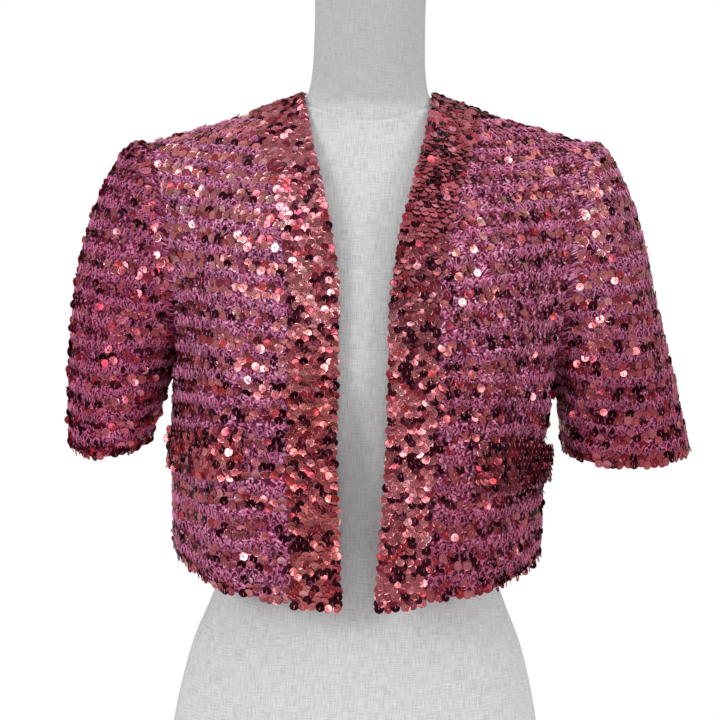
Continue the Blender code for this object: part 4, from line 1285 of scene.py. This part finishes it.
def knit_material(name, low, high):
    """Lurex knit: bright pink and dark red flecks and the paler outlines of its shells; the palest flecks are painted
    glints, and the panel's painted light and shade is multiplied in.
    """
    hue = rgba
    material = bpy.data.materials.new(name)
    material.use_nodes = True
    g = Nodes(material.node_tree)
    uv = g.add("ShaderNodeUVMap", uv_map="cloth").outputs[0]
    warp = g.add("ShaderNodeTexNoise", {"Vector": uv, "Scale": 0.22, "Detail": 2.0}).outputs["Color"]
    warp = g.add("ShaderNodeVectorMath", {0: warp, 1: (0.5, 0.5, 0.5)}, operation="SUBTRACT").outputs[0]
    warp = g.add("ShaderNodeVectorMath", {0: warp, "Scale": 3.2}, operation="SCALE").outputs[0]
    moved = g.add("ShaderNodeVectorMath", {0: uv, 1: warp}, operation="ADD").outputs[0]
    squeezed = g.add("ShaderNodeVectorMath", {0: moved, 1: (1.0, 1.35, 1.0)}, operation="MULTIPLY").outputs[0]
    net = g.add("ShaderNodeTexVoronoi", {"Vector": squeezed, "Scale": 1 / 6.4, "Randomness": 0.8}, feature="DISTANCE_TO_EDGE", voronoi_dimensions="2D").outputs[0]
    strand = g.add("ShaderNodeMapRange", {0: net, 1: 0.03, 2: 0.15, 3: 1.0, 4: 0.0}, interpolation_type="SMOOTHSTEP").outputs[0]
    fine = g.add("ShaderNodeTexVoronoi", {"Vector": moved, "Scale": 1 / 1.55}, voronoi_dimensions="2D").outputs["Color"]
    fine = g.add("ShaderNodeSeparateColor", {0: fine}).outputs[0]
    mid = g.add("ShaderNodeTexNoise", {"Vector": moved, "Scale": 0.42, "Detail": 3.0}).outputs[0]
    blend = g.math("ADD", g.math("MULTIPLY", fine, 0.72), g.math("MULTIPLY", mid, 0.42))
    # Flecks from near-black to pale lilac; the palest stand for glints of the lurex, a painted sparkle.
    speckle = g.ramp(blend, [
        (0.00, hue(0.020, 0.0012, 0.007)),
        (0.42, hue(0.065, 0.005, 0.024)),
        (0.56, hue(0.230, 0.022, 0.095)),
        (0.68, hue(0.600, 0.110, 0.300)),
        (0.79, hue(0.900, 0.300, 0.560)),
        (0.92, hue(0.960, 0.600, 0.800)),
    ])
    pink = g.ramp(fine, [(0.16, hue(0.30, 0.030, 0.130)), (0.48, hue(0.88, 0.190, 0.450)), (0.80, hue(1.00, 0.480, 0.720))])
    colour = g.mix(g.math("MULTIPLY", strand, 0.48), speckle, pink)
    # Painted light and shade: the colour is multiplied by the panel's lower shade at the hem, turning to its upper one
    # by 240 mm of rows.
    row = g.add("ShaderNodeSeparateXYZ", {0: uv}).outputs[1]
    painted_light_rise = g.add("ShaderNodeMapRange", {0: row, 1: 0.0, 2: 240.0, 3: 0.0, 4: 1.0}, interpolation_type="SMOOTHSTEP").outputs[0]
    shade = g.mix(painted_light_rise, rgba(*low), rgba(*high))
    product = g.add("ShaderNodeVectorMath", {0: colour, 1: shade}, operation="MULTIPLY").outputs[0]
    colour = product
    height = g.math("ADD", g.math("MULTIPLY", strand, 0.8), g.math("MULTIPLY", fine, 0.55))
    bump = g.add("ShaderNodeBump", {"Height": height, "Distance": 0.0012, "Strength": 0.9}).outputs[0]
    shader = g.add("ShaderNodeBsdfPrincipled", {
        "Base Color": colour, "Roughness": 0.50, "Metallic": 0.12, "Specular IOR Level": 0.22, "Normal": bump,
    })
    g.add("ShaderNodeOutputMaterial", {0: shader.outputs[0]})
    return material


def base_material():
    """The knit under the dense sequins, of the sequins' own colour and darker as painted shade under and between them.
    """
    material = bpy.data.materials.new("band_ground_painted_shade")
    material.use_nodes = True
    g = Nodes(material.node_tree)
    uv = g.add("ShaderNodeUVMap", uv_map="cloth").outputs[0]
    fine = g.add("ShaderNodeTexVoronoi", {"Vector": uv, "Scale": 1 / 1.2}, voronoi_dimensions="2D").outputs["Color"]
    fine = g.add("ShaderNodeSeparateColor", {0: fine}).outputs[0]
    mid = g.add("ShaderNodeTexNoise", {"Vector": uv, "Scale": 0.5, "Detail": 3.0}).outputs[0]
    colour = g.ramp(g.math("ADD", g.math("MULTIPLY", fine, 0.6), g.math("MULTIPLY", mid, 0.4)), [
        (0.10, rgba(0.035, 0.006, 0.018)),
        (0.45, rgba(0.150, 0.025, 0.060)),
        (0.70, rgba(0.360, 0.080, 0.150)),
        (0.95, rgba(0.640, 0.260, 0.360)),
    ])
    bump = g.add("ShaderNodeBump", {"Height": fine, "Distance": 0.001, "Strength": 0.8}).outputs[0]
    shader = g.add("ShaderNodeBsdfPrincipled", {"Base Color": colour, "Roughness": 0.5, "Metallic": 0.25, "Normal": bump})
    g.add("ShaderNodeOutputMaterial", {0: shader.outputs[0]})
    return material


def sequin_material():
    material = bpy.data.materials.new("sequin_foil")
    material.use_nodes = True
    g = Nodes(material.node_tree)
    tint = g.add("ShaderNodeAttribute", attribute_name="tint").outputs["Color"]
    place = g.add("ShaderNodeTexCoord").outputs["Object"]
    scuff = g.add("ShaderNodeTexNoise", {"Vector": place, "Scale": 900.0, "Detail": 2.0}).outputs[0]
    rough = g.add("ShaderNodeMapRange", {0: scuff, 1: 0.3, 2: 0.7, 3: 0.12, 4: 0.26}).outputs[0]
    darker = g.mix(0.22, tint, rgba(0.12, 0.02, 0.04))
    colour = g.mix(g.add("ShaderNodeMapRange", {0: scuff, 1: 0.35, 2: 0.62, 3: 0.0, 4: 0.6}).outputs[0], tint, darker)
    shader = g.add("ShaderNodeBsdfPrincipled", {"Base Color": colour, "Roughness": rough, "Metallic": 0.94})
    g.add("ShaderNodeOutputMaterial", {0: shader.outputs[0]})
    return material


def yarn_material(name, bright):
    material = bpy.data.materials.new(name)
    material.use_nodes = True
    g = Nodes(material.node_tree)
    tint = g.add("ShaderNodeAttribute", attribute_name="tint").outputs["Color"]
    place = g.add("ShaderNodeTexCoord").outputs["Object"]
    fine = g.add("ShaderNodeTexNoise", {"Vector": place, "Scale": 1100.0, "Detail": 2.0}).outputs[0]
    # Painted glints: pale pink flecks mixed in by fine noise, up to the share given by bright; darker flecks where the
    # noise is low.
    factor = g.add("ShaderNodeMapRange", {0: fine, 1: 0.40, 2: 0.66, 3: 0.0, 4: 1.0}).outputs[0]
    colour = g.mix(g.math("MULTIPLY", factor, bright), tint, rgba(0.94, 0.44, 0.64))
    dark = g.add("ShaderNodeMapRange", {0: fine, 1: 0.46, 2: 0.30, 3: 0.0, 4: 0.75}).outputs[0]
    colour = g.mix(dark, colour, rgba(0.16, 0.025, 0.10))
    shader = g.add("ShaderNodeBsdfPrincipled", {"Base Color": colour, "Roughness": 0.50, "Metallic": 0.10, "Specular IOR Level": 0.22})
    g.add("ShaderNodeOutputMaterial", {0: shader.outputs[0]})
    return material


def linen_material():
    material = bpy.data.materials.new("form_linen_weave")
    material.use_nodes = True
    g = Nodes(material.node_tree)
    uv = g.add("ShaderNodeUVMap", uv_map="cloth").outputs[0]
    warp_at = g.add("ShaderNodeVectorMath", {0: uv, 1: (1.35, 0.085, 1.0)}, operation="MULTIPLY").outputs[0]
    weft_at = g.add("ShaderNodeVectorMath", {0: uv, 1: (0.085, 1.35, 1.0)}, operation="MULTIPLY").outputs[0]
    warp = g.add("ShaderNodeTexNoise", {"Vector": warp_at, "Scale": 1.0, "Detail": 3.0}).outputs[0]
    weft = g.add("ShaderNodeTexNoise", {"Vector": weft_at, "Scale": 1.0, "Detail": 3.0}).outputs[0]
    patch = g.add("ShaderNodeTexNoise", {"Vector": uv, "Scale": 0.02, "Detail": 2.0}).outputs[0]
    weave = g.math("ADD", g.math("MULTIPLY", warp, 0.5), g.math("MULTIPLY", weft, 0.5))
    colour = g.ramp(weave, [
        (0.36, rgba(0.462, 0.459, 0.463)),
        (0.50, rgba(0.628, 0.627, 0.630)),
        (0.64, rgba(0.750, 0.750, 0.755)),
    ])
    colour = g.mix(g.math("MULTIPLY", patch, 0.12), colour, rgba(0.68, 0.675, 0.665))
    slub_at = g.add("ShaderNodeVectorMath", {0: uv, 1: (0.9, 0.05, 1.0)}, operation="MULTIPLY").outputs[0]
    slub = g.add("ShaderNodeTexNoise", {"Vector": slub_at, "Scale": 0.8, "Detail": 1.0}).outputs[0]
    slub = g.add("ShaderNodeMapRange", {0: slub, 1: 0.66, 2: 0.74, 3: 0.0, 4: 0.50}).outputs[0]
    colour = g.mix(slub, colour, rgba(0.44, 0.43, 0.43))
    # Painted shade: the neck, from 646 to 654 mm up, is mixed up to 42 % toward grey, darker than the rest of the form.
    tall = g.add("ShaderNodeSeparateXYZ", {0: uv}).outputs[1]
    neck = g.add("ShaderNodeMapRange", {0: tall, 1: 646.0, 2: 654.0, 3: 0.0, 4: 0.42}).outputs[0]
    colour = g.mix(neck, colour, rgba(0.36, 0.36, 0.365))
    bump = g.add("ShaderNodeBump", {"Height": weave, "Distance": 0.0006, "Strength": 0.6}).outputs[0]
    shader = g.add("ShaderNodeBsdfPrincipled", {"Base Color": colour, "Roughness": 0.92, "Normal": bump})
    g.add("ShaderNodeOutputMaterial", {0: shader.outputs[0]})
    return material


# ---------------------------------------------------------------- the dress form

def form_arrays():
    """Fine smooth form with a shallow seam round the foot of the neck, as a closed mesh."""
    tall = np.concatenate([
        np.array([0.0, 0.6, 2.0]),
        np.arange(6.0, 560.0, 6.0),
        np.arange(560.0, 620.0, 3.0),
        np.arange(620.0, 666.0, 1.0),
        np.arange(666.0, 764.0, 4.0),
        np.array([764.0, 767.0, 769.5, 771.5, 773.0, 774.2, 775.0]),
    ])
    rings, uvs = [], []
    for z in tall:
        a, front, back, square = (smooth_column(FORM_ROWS, FORM_COLUMNS, name, z) for name in FORM_COLUMNS[1:])
        soft = 1.0
        if z < 2.0:
            a, front, back = a - (2.0 - z) * 0.6, front - (2.0 - z) * 0.6, back - (2.0 - z) * 0.6
        dense = np.linspace(0, 2 * math.pi, 721)
        c, n = np.cos(dense), np.sin(dense)
        x = a * np.sign(c) * np.abs(c) ** (2 / square)
        y = np.where(n < 0, front, back) * np.sign(n) * np.abs(n) ** (2 / square)
        curve = np.stack([x, y, np.full_like(x, z)], axis=1)
        quarter = FORM_SEGMENTS // 4
        ring = []
        for k in range(4):
            piece = curve[k * 180:(k + 1) * 180 + 1]
            ring.append(along(piece, np.linspace(0, length_of(piece), quarter + 1))[:-1])
        # from the middle of the back round, and measured across from the middle of the front
        ring = np.roll(np.concatenate(ring), -quarter, axis=0)
        steps = np.linalg.norm(np.diff(np.concatenate([ring, ring[:1]]), axis=0), axis=1)
        run = np.concatenate([[0.0], np.cumsum(steps)[:-1]])
        run = run - run[2 * quarter]
        rings.append(ring)
        uvs.append(np.stack([run, np.full(len(run), z)], axis=1))
    rings = np.array(rings)
    radial = units(np.concatenate([rings[..., :2], np.zeros(rings.shape[:2] + (1,))], axis=2))
    facing = radial[..., 1]
    seam = 647.0 + 7.5 * (1 - facing**2) - 13.5 * np.clip(-facing, 0, 1) ** 1.5 - 7.0 * np.clip(facing, 0, 1) ** 1.5
    gap = rings[..., 2] - seam
    depth = -0.85 * np.exp(-((gap / 1.0) ** 2)) + 0.30 * np.exp(-(((gap + 3.0) / 1.8) ** 2))
    rings = rings + radial * depth[..., None]
    count = rings.shape[1]
    points = rings.reshape(-1, 3)
    index = np.arange(len(points)).reshape(rings.shape[:2])
    following = np.roll(index, -1, axis=1)
    faces = np.stack([index[:-1], following[:-1], following[1:], index[1:]], axis=-1).reshape(-1, 4)
    uv = np.concatenate(uvs)
    # The flat base and the top of the neck: quads from a middle line of points.
    extra, extra_uv, caps = [], [], []
    total = len(points)
    for row, turn in ((0, False), (len(rings) - 1, True)):
        ring = rings[row]
        previous = index[row]
        centre = ring.mean(axis=0)
        for share in (0.94, 0.75, 0.5, 0.25, 0.05):
            inner = centre + (ring - centre) * share
            if turn:
                inner[:, 2] += 0.35 * (1 - share)
            start = total + len(extra) * count
            extra.append(inner)
            extra_uv.append(inner[:, :2].copy())
            now = start + np.arange(count)
            q = np.stack([previous, np.roll(previous, -1), np.roll(now, -1), now], axis=-1)
            caps.append(q if turn else q[:, ::-1])
            previous = now
        start_mid = previous
        half = count // 2
        left = np.arange(0, half - 1)
        mirror_of = lambda k: previous[(count - 1 - k) % count]
        q = np.array([(previous[k], previous[k + 1], mirror_of(k + 1), mirror_of(k)) for k in left])
        caps.append(q if turn else q[:, ::-1])
    points = np.concatenate([points] + extra)
    uv = np.concatenate([uv] + extra_uv)
    return points, np.concatenate([faces] + caps), uv


# ---------------------------------------------------------------- build

# One knit material for each panel: the same knit, with that panel's painted light and shade.
KNITS = {
    name: knit_material("lurex_knit_" + name, *shaded(PAINTED_LIGHT_CASTS[name], YARN_CAST))
    for name in ("front_left", "front_right", "back", "sleeve_left", "sleeve_right")
}
GROUND_PAINTED_SHADE = base_material()
FOIL = sequin_material()
STRAND = yarn_material("lurex_strand", 0.42)
THREAD = yarn_material("sewing_thread", 0.75)
LINEN = linen_material()

form_points, form_faces, form_uv = form_arrays()
form_mesh = quick_mesh("form_torso_linen", to_world(form_points), facing_out(form_points, form_faces), uv=form_uv)
form_mesh.materials.append(LINEN)
FORM = link(form_mesh, "form_torso_linen")
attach(FORM, "root")
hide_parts("form_torso")

tree = BVHTree.FromPolygons([tuple(p) for p in form_points], [tuple(int(k) for k in f) for f in facing_out(form_points, form_faces)])

grids = outer_grids()
for name, (grid, closed, seams) in grids.items():
    grid = clear_of_form(leaned(grid), tree, FORM_CLEARANCE + WALL)
    grids[name] = (grid, closed, seams)

# The knitting's rows run at the same height through both fronts and the back up to the chest.
climbs = [gaps_along(grids[name][0], 0).mean(axis=1) for name in ("front_left", "front_right", "back")]
BODY_ROWS = np.mean(climbs, axis=0)

normals = shared_normals(grids)
panels = {}
for name, (grid, closed, seams) in grids.items():
    normal = normals[name]
    rows = row_coordinate(name, grid)
    across = across_coordinate(name, grid, closed)
    inside = clear_of_form(grid - normal * WALL, tree, FORM_CLEARANCE)
    # Relief: the knit stands a little over the bands of sequins; seams are drawn in.
    repeat = REPEAT_SLEEVE if name.startswith("sleeve") else REPEAT_BODY
    if name.startswith(("front", "back", "sleeve")):
        relief = -0.25 + 0.45 * np.cos(2 * np.pi * (rows - 16.3) / repeat)
    else:
        relief = np.zeros_like(rows)
    edge = np.full(rows.shape, 1e3)
    if "u0" in seams:
        edge = np.minimum(edge, gaps_along(grid, 1))
    if "u1" in seams:
        run = gaps_along(grid, 1)
        edge = np.minimum(edge, run[:, -1:] - run)
    climb = gaps_along(grid, 0)
    if "v1" in seams:
        edge = np.minimum(edge, climb[-1:] - climb)
    if "v0" in seams:
        edge = np.minimum(edge, climb)
    relief = relief * smoothstep(edge / 5.0) - 0.8 * np.exp(-((edge / 2.6) ** 2))
    face = grid + normal * (relief - SKIN)[:, :, None]
    outer = pulled_back(face, seams)
    inner = pulled_back(inside, seams)
    points, faces = wall_arrays(outer, inner, closed)
    uv = np.stack([across, rows], axis=-1).reshape(-1, 2)
    uv = np.concatenate([uv, uv + np.array([300.0, 0.0])])
    made = name + "_cloth"
    mesh = quick_mesh(made, to_world(points), facing_out(points, faces), uv=uv)
    mesh.materials.append(GROUND_PAINTED_SHADE if name.startswith("band") else KNITS[name])
    thing = link(mesh, made)
    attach(thing, "root")
    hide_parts(name)
    panels[name] = {"grid": face, "normal": normal, "rows": rows, "closed": closed, "thing": thing, "seed": len(panels) * 0.83}


# Pocket welts.
def welt_grids(side):
    welt = WELTS[side]
    cols, rows = 40, 10
    fractions = np.linspace(welt["u"][0], welt["u"][1], cols + 1)
    low = np.linspace(welt["low"][0], welt["low"][1], cols + 1)
    high = np.linspace(welt["high"][0], welt["high"][1], cols + 1)
    grid = panel_smooth[side]
    levels = body_levels()
    across = np.linspace(0, 1, COLS_PANEL + 1)
    normal = grid_normals(grid) * (1.0 if side == "right" else -1.0)
    base = np.zeros((rows + 1, cols + 1, 3))
    out_way = np.zeros_like(base)
    for i in range(rows + 1):
        v = low + (high - low) * i / rows
        for k in range(3):
            for target, source in ((base, grid), (out_way, normal)):
                column = np.array([np.interp(fractions, across, source[r, :, k]) for r in range(len(levels))])
                target[i, :, k] = [np.interp(v[j], levels, column[:, j]) for j in range(cols + 1)]
    out_way = units(out_way)
    out = WELT_GAP + welt["flare"] * np.linspace(0, 1, cols + 1) ** 2
    lean = np.linspace(0.6, 1.0, rows + 1)
    offset = (out[None, :] - WELT_GAP) * lean[:, None] + WELT_GAP
    inner = base + out_way * offset[:, :, None]
    return inner + out_way * (WELT_WALL - 0.8), inner, out_way


panel_smooth = {side: grids["front_" + side][0] for side in ("left", "right")}
for side in ("left", "right"):
    outer, inner, out_way = welt_grids(side)
    rows = gaps_along(outer, 0)
    across = gaps_along(outer, 1)
    # rounded edges: the wall thins toward all four sides
    height, length = rows[-1:], across[:, -1:]
    rim = smoothstep(np.minimum(np.minimum(rows, height - rows), np.minimum(across, length - across)) / 3.0)
    outer = outer - out_way * (0.9 * (1 - rim))[:, :, None]
    points, faces = wall_arrays(outer, inner, False)
    uv = np.stack([across, rows], axis=-1).reshape(-1, 2)
    uv = np.concatenate([uv, uv + np.array([300.0, 0.0])])
    name = "pocket_welt_" + side
    mesh = quick_mesh(name + "_cloth", to_world(points), facing_out(points, faces), uv=uv)
    mesh.materials.append(GROUND_PAINTED_SHADE)
    thing = link(mesh, name + "_cloth")
    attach(thing, "root")
    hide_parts(name)
    mean = rows.mean(axis=1)
    panels[name] = {"grid": outer, "normal": out_way, "rows": np.repeat(mean[:, None], outer.shape[1], axis=1), "closed": False, "thing": thing, "seed": 0.4}

# Sequins and strands, one joined piece for each panel.
TILT = {"left": 10.0, "right": -9.0}
seed = 11
for name, panel in panels.items():
    seed += 1
    side = "left" if name.endswith("left") else "right"
    # The panel's painted light and shade goes into its sequins' and strands' colours.
    pair = PAINTED_LIGHT_CASTS.get(name, PLAIN)
    bits = Bits(seed, *(pair if name.startswith(("band", "pocket")) else shaded(pair, FOIL_CAST)))
    strands = Bits(seed + 100, *shaded(pair, YARN_CAST))
    if name == "front_right":
        sequin_rows(bits, panel, REPEAT_BODY, -3.6, TILT[side], yaw=15.0, spread=(8.0, 11.0))
        knit_strands(strands, panel, REPEAT_BODY, -3.6)
    elif name == "front_left":
        sequin_rows(bits, panel, REPEAT_BODY, -3.6, TILT[side])
        knit_strands(strands, panel, REPEAT_BODY, -3.6)
    elif name == "back":
        sequin_rows(bits, panel, REPEAT_BODY, -3.6, 8.0)
        knit_strands(strands, panel, REPEAT_BODY, -3.6)
    elif name.startswith("sleeve"):
        if side == "left":
            sequin_rows(bits, panel, REPEAT_SLEEVE, -3.6, 12.0, yaw=-18.0, spread=(8.0, 12.0))
        else:
            sequin_rows(bits, panel, REPEAT_SLEEVE, -3.6, 7.0)
        knit_strands(strands, panel, REPEAT_SLEEVE, -3.6)
    elif name.startswith("band_front"):
        scale_rows(bits, panel, BAND_PITCH_UP, BAND_PITCH_ACROSS, TILT[side], 2.2, 2.0, tilt_high={"left": 10.0, "right": -11.5}[side])
    elif name == "band_neck":
        turned = {
            "grid": panel["grid"].transpose(1, 0, 2), "normal": panel["normal"].transpose(1, 0, 2),
            "closed": False,
        }
        climb = gaps_along(turned["grid"], 0).mean(axis=1)
        turned["rows"] = np.repeat(climb[:, None], turned["grid"].shape[1], axis=1)
        scale_rows(bits, turned, BAND_PITCH_UP, BAND_PITCH_ACROSS, 9.0, 0.0, 2.0)
    else:
        loose_welt = side == "left"
        scale_rows(
            bits, panel, 4.9, 6.8, -9.0 if loose_welt else -21.0, -0.4, 1.0,
            lift=0.5 if loose_welt else 0.95, side_low=1.0, spread=(8.0, 11.0) if loose_welt else (4.5, 5.0),
        )
    if bits.count:
        thing = bits.build("sequins_" + name, [FOIL, THREAD], smooth=False)
        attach(thing, "root")
    if strands.count:
        thing = strands.build("strands_" + name, [STRAND, THREAD])
        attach(thing, "root")

# ---------------------------------------------------------------- floor, light and world

floor_points, floor_faces = [], []
for ring, radius in enumerate((0.02, 0.12, 0.24, 0.36, 0.46)):
    for k in range(96):
        angle = 2 * math.pi * k / 96
        floor_points.append((radius * math.cos(angle), radius * math.sin(angle), -0.0006))
for ring in range(4):
    for k in range(96):
        m = (k + 1) % 96
        floor_faces.append((ring * 96 + k, ring * 96 + m, (ring + 1) * 96 + m, (ring + 1) * 96 + k))
for k in range(47):
    floor_faces.append((k, k + 1, 95 - k - 1, 95 - k))
floor_mesh = quick_mesh("studio_floor", floor_points, floor_faces)
floor_material = bpy.data.materials.new("floor_paper")
floor_material.use_nodes = True
g = Nodes(floor_material.node_tree)
place = g.add("ShaderNodeTexCoord").outputs["Object"]
paper = g.add("ShaderNodeTexNoise", {"Vector": place, "Scale": 60.0, "Detail": 3.0}).outputs[0]
paper = g.ramp(paper, [(0.3, rgba(0.80, 0.80, 0.80)), (0.7, rgba(0.86, 0.86, 0.86))])
paper_shader = g.add("ShaderNodeBsdfPrincipled", {"Base Color": paper, "Roughness": 0.9})
g.add("ShaderNodeOutputMaterial", {0: paper_shader.outputs[0]})
floor_mesh.materials.append(floor_material)
FLOOR = link(floor_mesh, "studio_floor")


def area_light(name, place, target, size, power, colour=(1.0, 1.0, 1.0), tall=None):
    data = bpy.data.lights.new(name, "AREA")
    data.energy = power
    data.color = colour
    data.shape = "RECTANGLE"
    data.size = size
    data.size_y = tall or size
    lamp = bpy.data.objects.new(name, data)
    lamp.location = place
    lamp.rotation_mode = "QUATERNION"
    lamp.rotation_quaternion = (Vector(target) - Vector(place)).to_track_quat("-Z", "Y")
    lamp.visible_glossy = False
    bpy.context.scene.collection.objects.link(lamp)
    return lamp


LIGHTS = [
    area_light("key_left", (-1.50, -1.60, 1.05), (0.0, 0.0, 0.30), 0.60, 13.5, tall=0.80),
    area_light("key_right", (1.80, -1.30, 0.90), (0.0, 0.0, 0.30), 0.50, 9.5, tall=0.80),
    area_light("fill_low", (0.0, -1.30, 0.12), (0.0, 0.0, 0.22), 0.60, 2.7),
    area_light("over", (0.0, -0.1, 2.4), (0.0, 0.0, 0.45), 1.3, 11.0),
]

world = bpy.data.worlds.new("studio")
bpy.context.scene.world = world
world.use_nodes = True
g = Nodes(world.node_tree)
direction = g.add("ShaderNodeTexCoord").outputs["Generated"]
parts = g.add("ShaderNodeSeparateXYZ", {0: direction})
dx, dy, dz = parts.outputs[0], parts.outputs[1], parts.outputs[2]
side_light = g.math("POWER", g.math("ABSOLUTE", dx), 1.6)
up = g.math("MAXIMUM", dz, 0.0)
down = g.math("MAXIMUM", g.math("MULTIPLY", dz, -1.0), 0.0)

# What lights the cloth: a soft room, brighter above and at the sides.
room = g.math("ADD", 0.18, g.math("MULTIPLY", side_light, 0.64))
room = g.math("ADD", room, g.math("MULTIPLY", up, 0.56))
room = g.math("ADD", room, g.math("MULTIPLY", down, 0.10))
room_colour = g.add("ShaderNodeCombineColor", {0: room, 1: room, 2: g.math("MULTIPLY", room, 1.015)}).outputs[0]

# What the sequins mirror: the same room with its darker ceiling and warm floor, and softboxes.
height = g.math("ADD", g.math("MULTIPLY", dz, 0.5), 0.5)
bands = g.ramp(height, [
    (0.00, rgba(0.05, 0.022, 0.024)),
    (0.20, rgba(0.22, 0.110, 0.110)),
    (0.33, rgba(0.52, 0.420, 0.430)),
    (0.44, rgba(0.62, 0.560, 0.570)),
    (0.55, rgba(0.50, 0.460, 0.465)),
    (0.66, rgba(0.40, 0.360, 0.370)),
    (0.77, rgba(0.38, 0.350, 0.360)),
    (0.87, rgba(0.50, 0.460, 0.470)),
    (0.93, rgba(1.05, 0.990, 1.000)),
])
patches = g.add("ShaderNodeTexNoise", {"Vector": direction, "Scale": 2.6, "Detail": 3.0, "Roughness": 0.60}).outputs[0]
patches = g.ramp(patches, [
    (0.36, rgba(0.10, 0.06, 0.07)),
    (0.43, rgba(0.70, 0.42, 0.38)),
    (0.50, rgba(1.00, 0.88, 0.88)),
    (0.58, rgba(1.20, 1.10, 1.12)),
    (0.66, rgba(1.60, 1.54, 1.56)),
])
mirrored = g.add("ShaderNodeVectorMath", {0: bands, 1: patches}, operation="MULTIPLY").outputs[0]
SOFTBOXES = (
    # direction, half angle of the core and of the halo in degrees, radiance
    ((-0.46, -0.70, 0.55), 6.0, 11.0, 9.0),
    ((0.60, -0.62, 0.50), 5.5, 10.0, 8.0),
    ((-0.64, -0.72, 0.20), 4.0, 7.5, 9.0),
    ((-0.20, -0.90, 0.36), 3.5, 7.0, 9.0),
    ((-0.16, -0.93, -0.33), 3.8, 6.5, 8.5),
    ((-0.62, -0.76, -0.16), 3.0, 6.0, 6.0),
    ((0.34, -0.91, 0.24), 3.0, 5.5, 6.0),
    ((0.05, -0.78, 0.62), 3.5, 7.0, 5.0),
)
glow = None
for way, core, halo, radiance in SOFTBOXES:
    length = math.sqrt(sum(c * c for c in way))
    way = tuple(c / length for c in way)
    near = g.add("ShaderNodeVectorMath", {0: direction, 1: way}, operation="DOT_PRODUCT").outputs["Value"]
    spot = g.add("ShaderNodeMapRange", {0: near, 1: math.cos(math.radians(halo)), 2: math.cos(math.radians(core)), 3: 0.0, 4: radiance}, interpolation_type="SMOOTHSTEP").outputs[0]
    glow = spot if glow is None else g.math("ADD", glow, spot)
glow_colour = g.add("ShaderNodeCombineColor", {0: glow, 1: g.math("MULTIPLY", glow, 0.98), 2: g.math("MULTIPLY", glow, 0.97)}).outputs[0]
mirrored = g.add("ShaderNodeVectorMath", {0: mirrored, 1: glow_colour}, operation="ADD").outputs[0]

light_path = g.add("ShaderNodeLightPath")
lit = g.add("ShaderNodeBackground", {0: g.mix(light_path.outputs["Is Glossy Ray"], room_colour, mirrored), 1: 1.0}).outputs[0]
plain = g.add("ShaderNodeBackground", {0: rgba(1.0, 1.0, 1.0), 1: 1.0}).outputs[0]
mixed = g.add("ShaderNodeMixShader", {0: light_path.outputs["Is Camera Ray"], 1: lit, 2: plain}).outputs[0]
g.add("ShaderNodeOutputWorld", {0: mixed})

bpy.context.scene.view_settings.view_transform = "Standard"
bpy.context.scene.view_settings.look = "None"
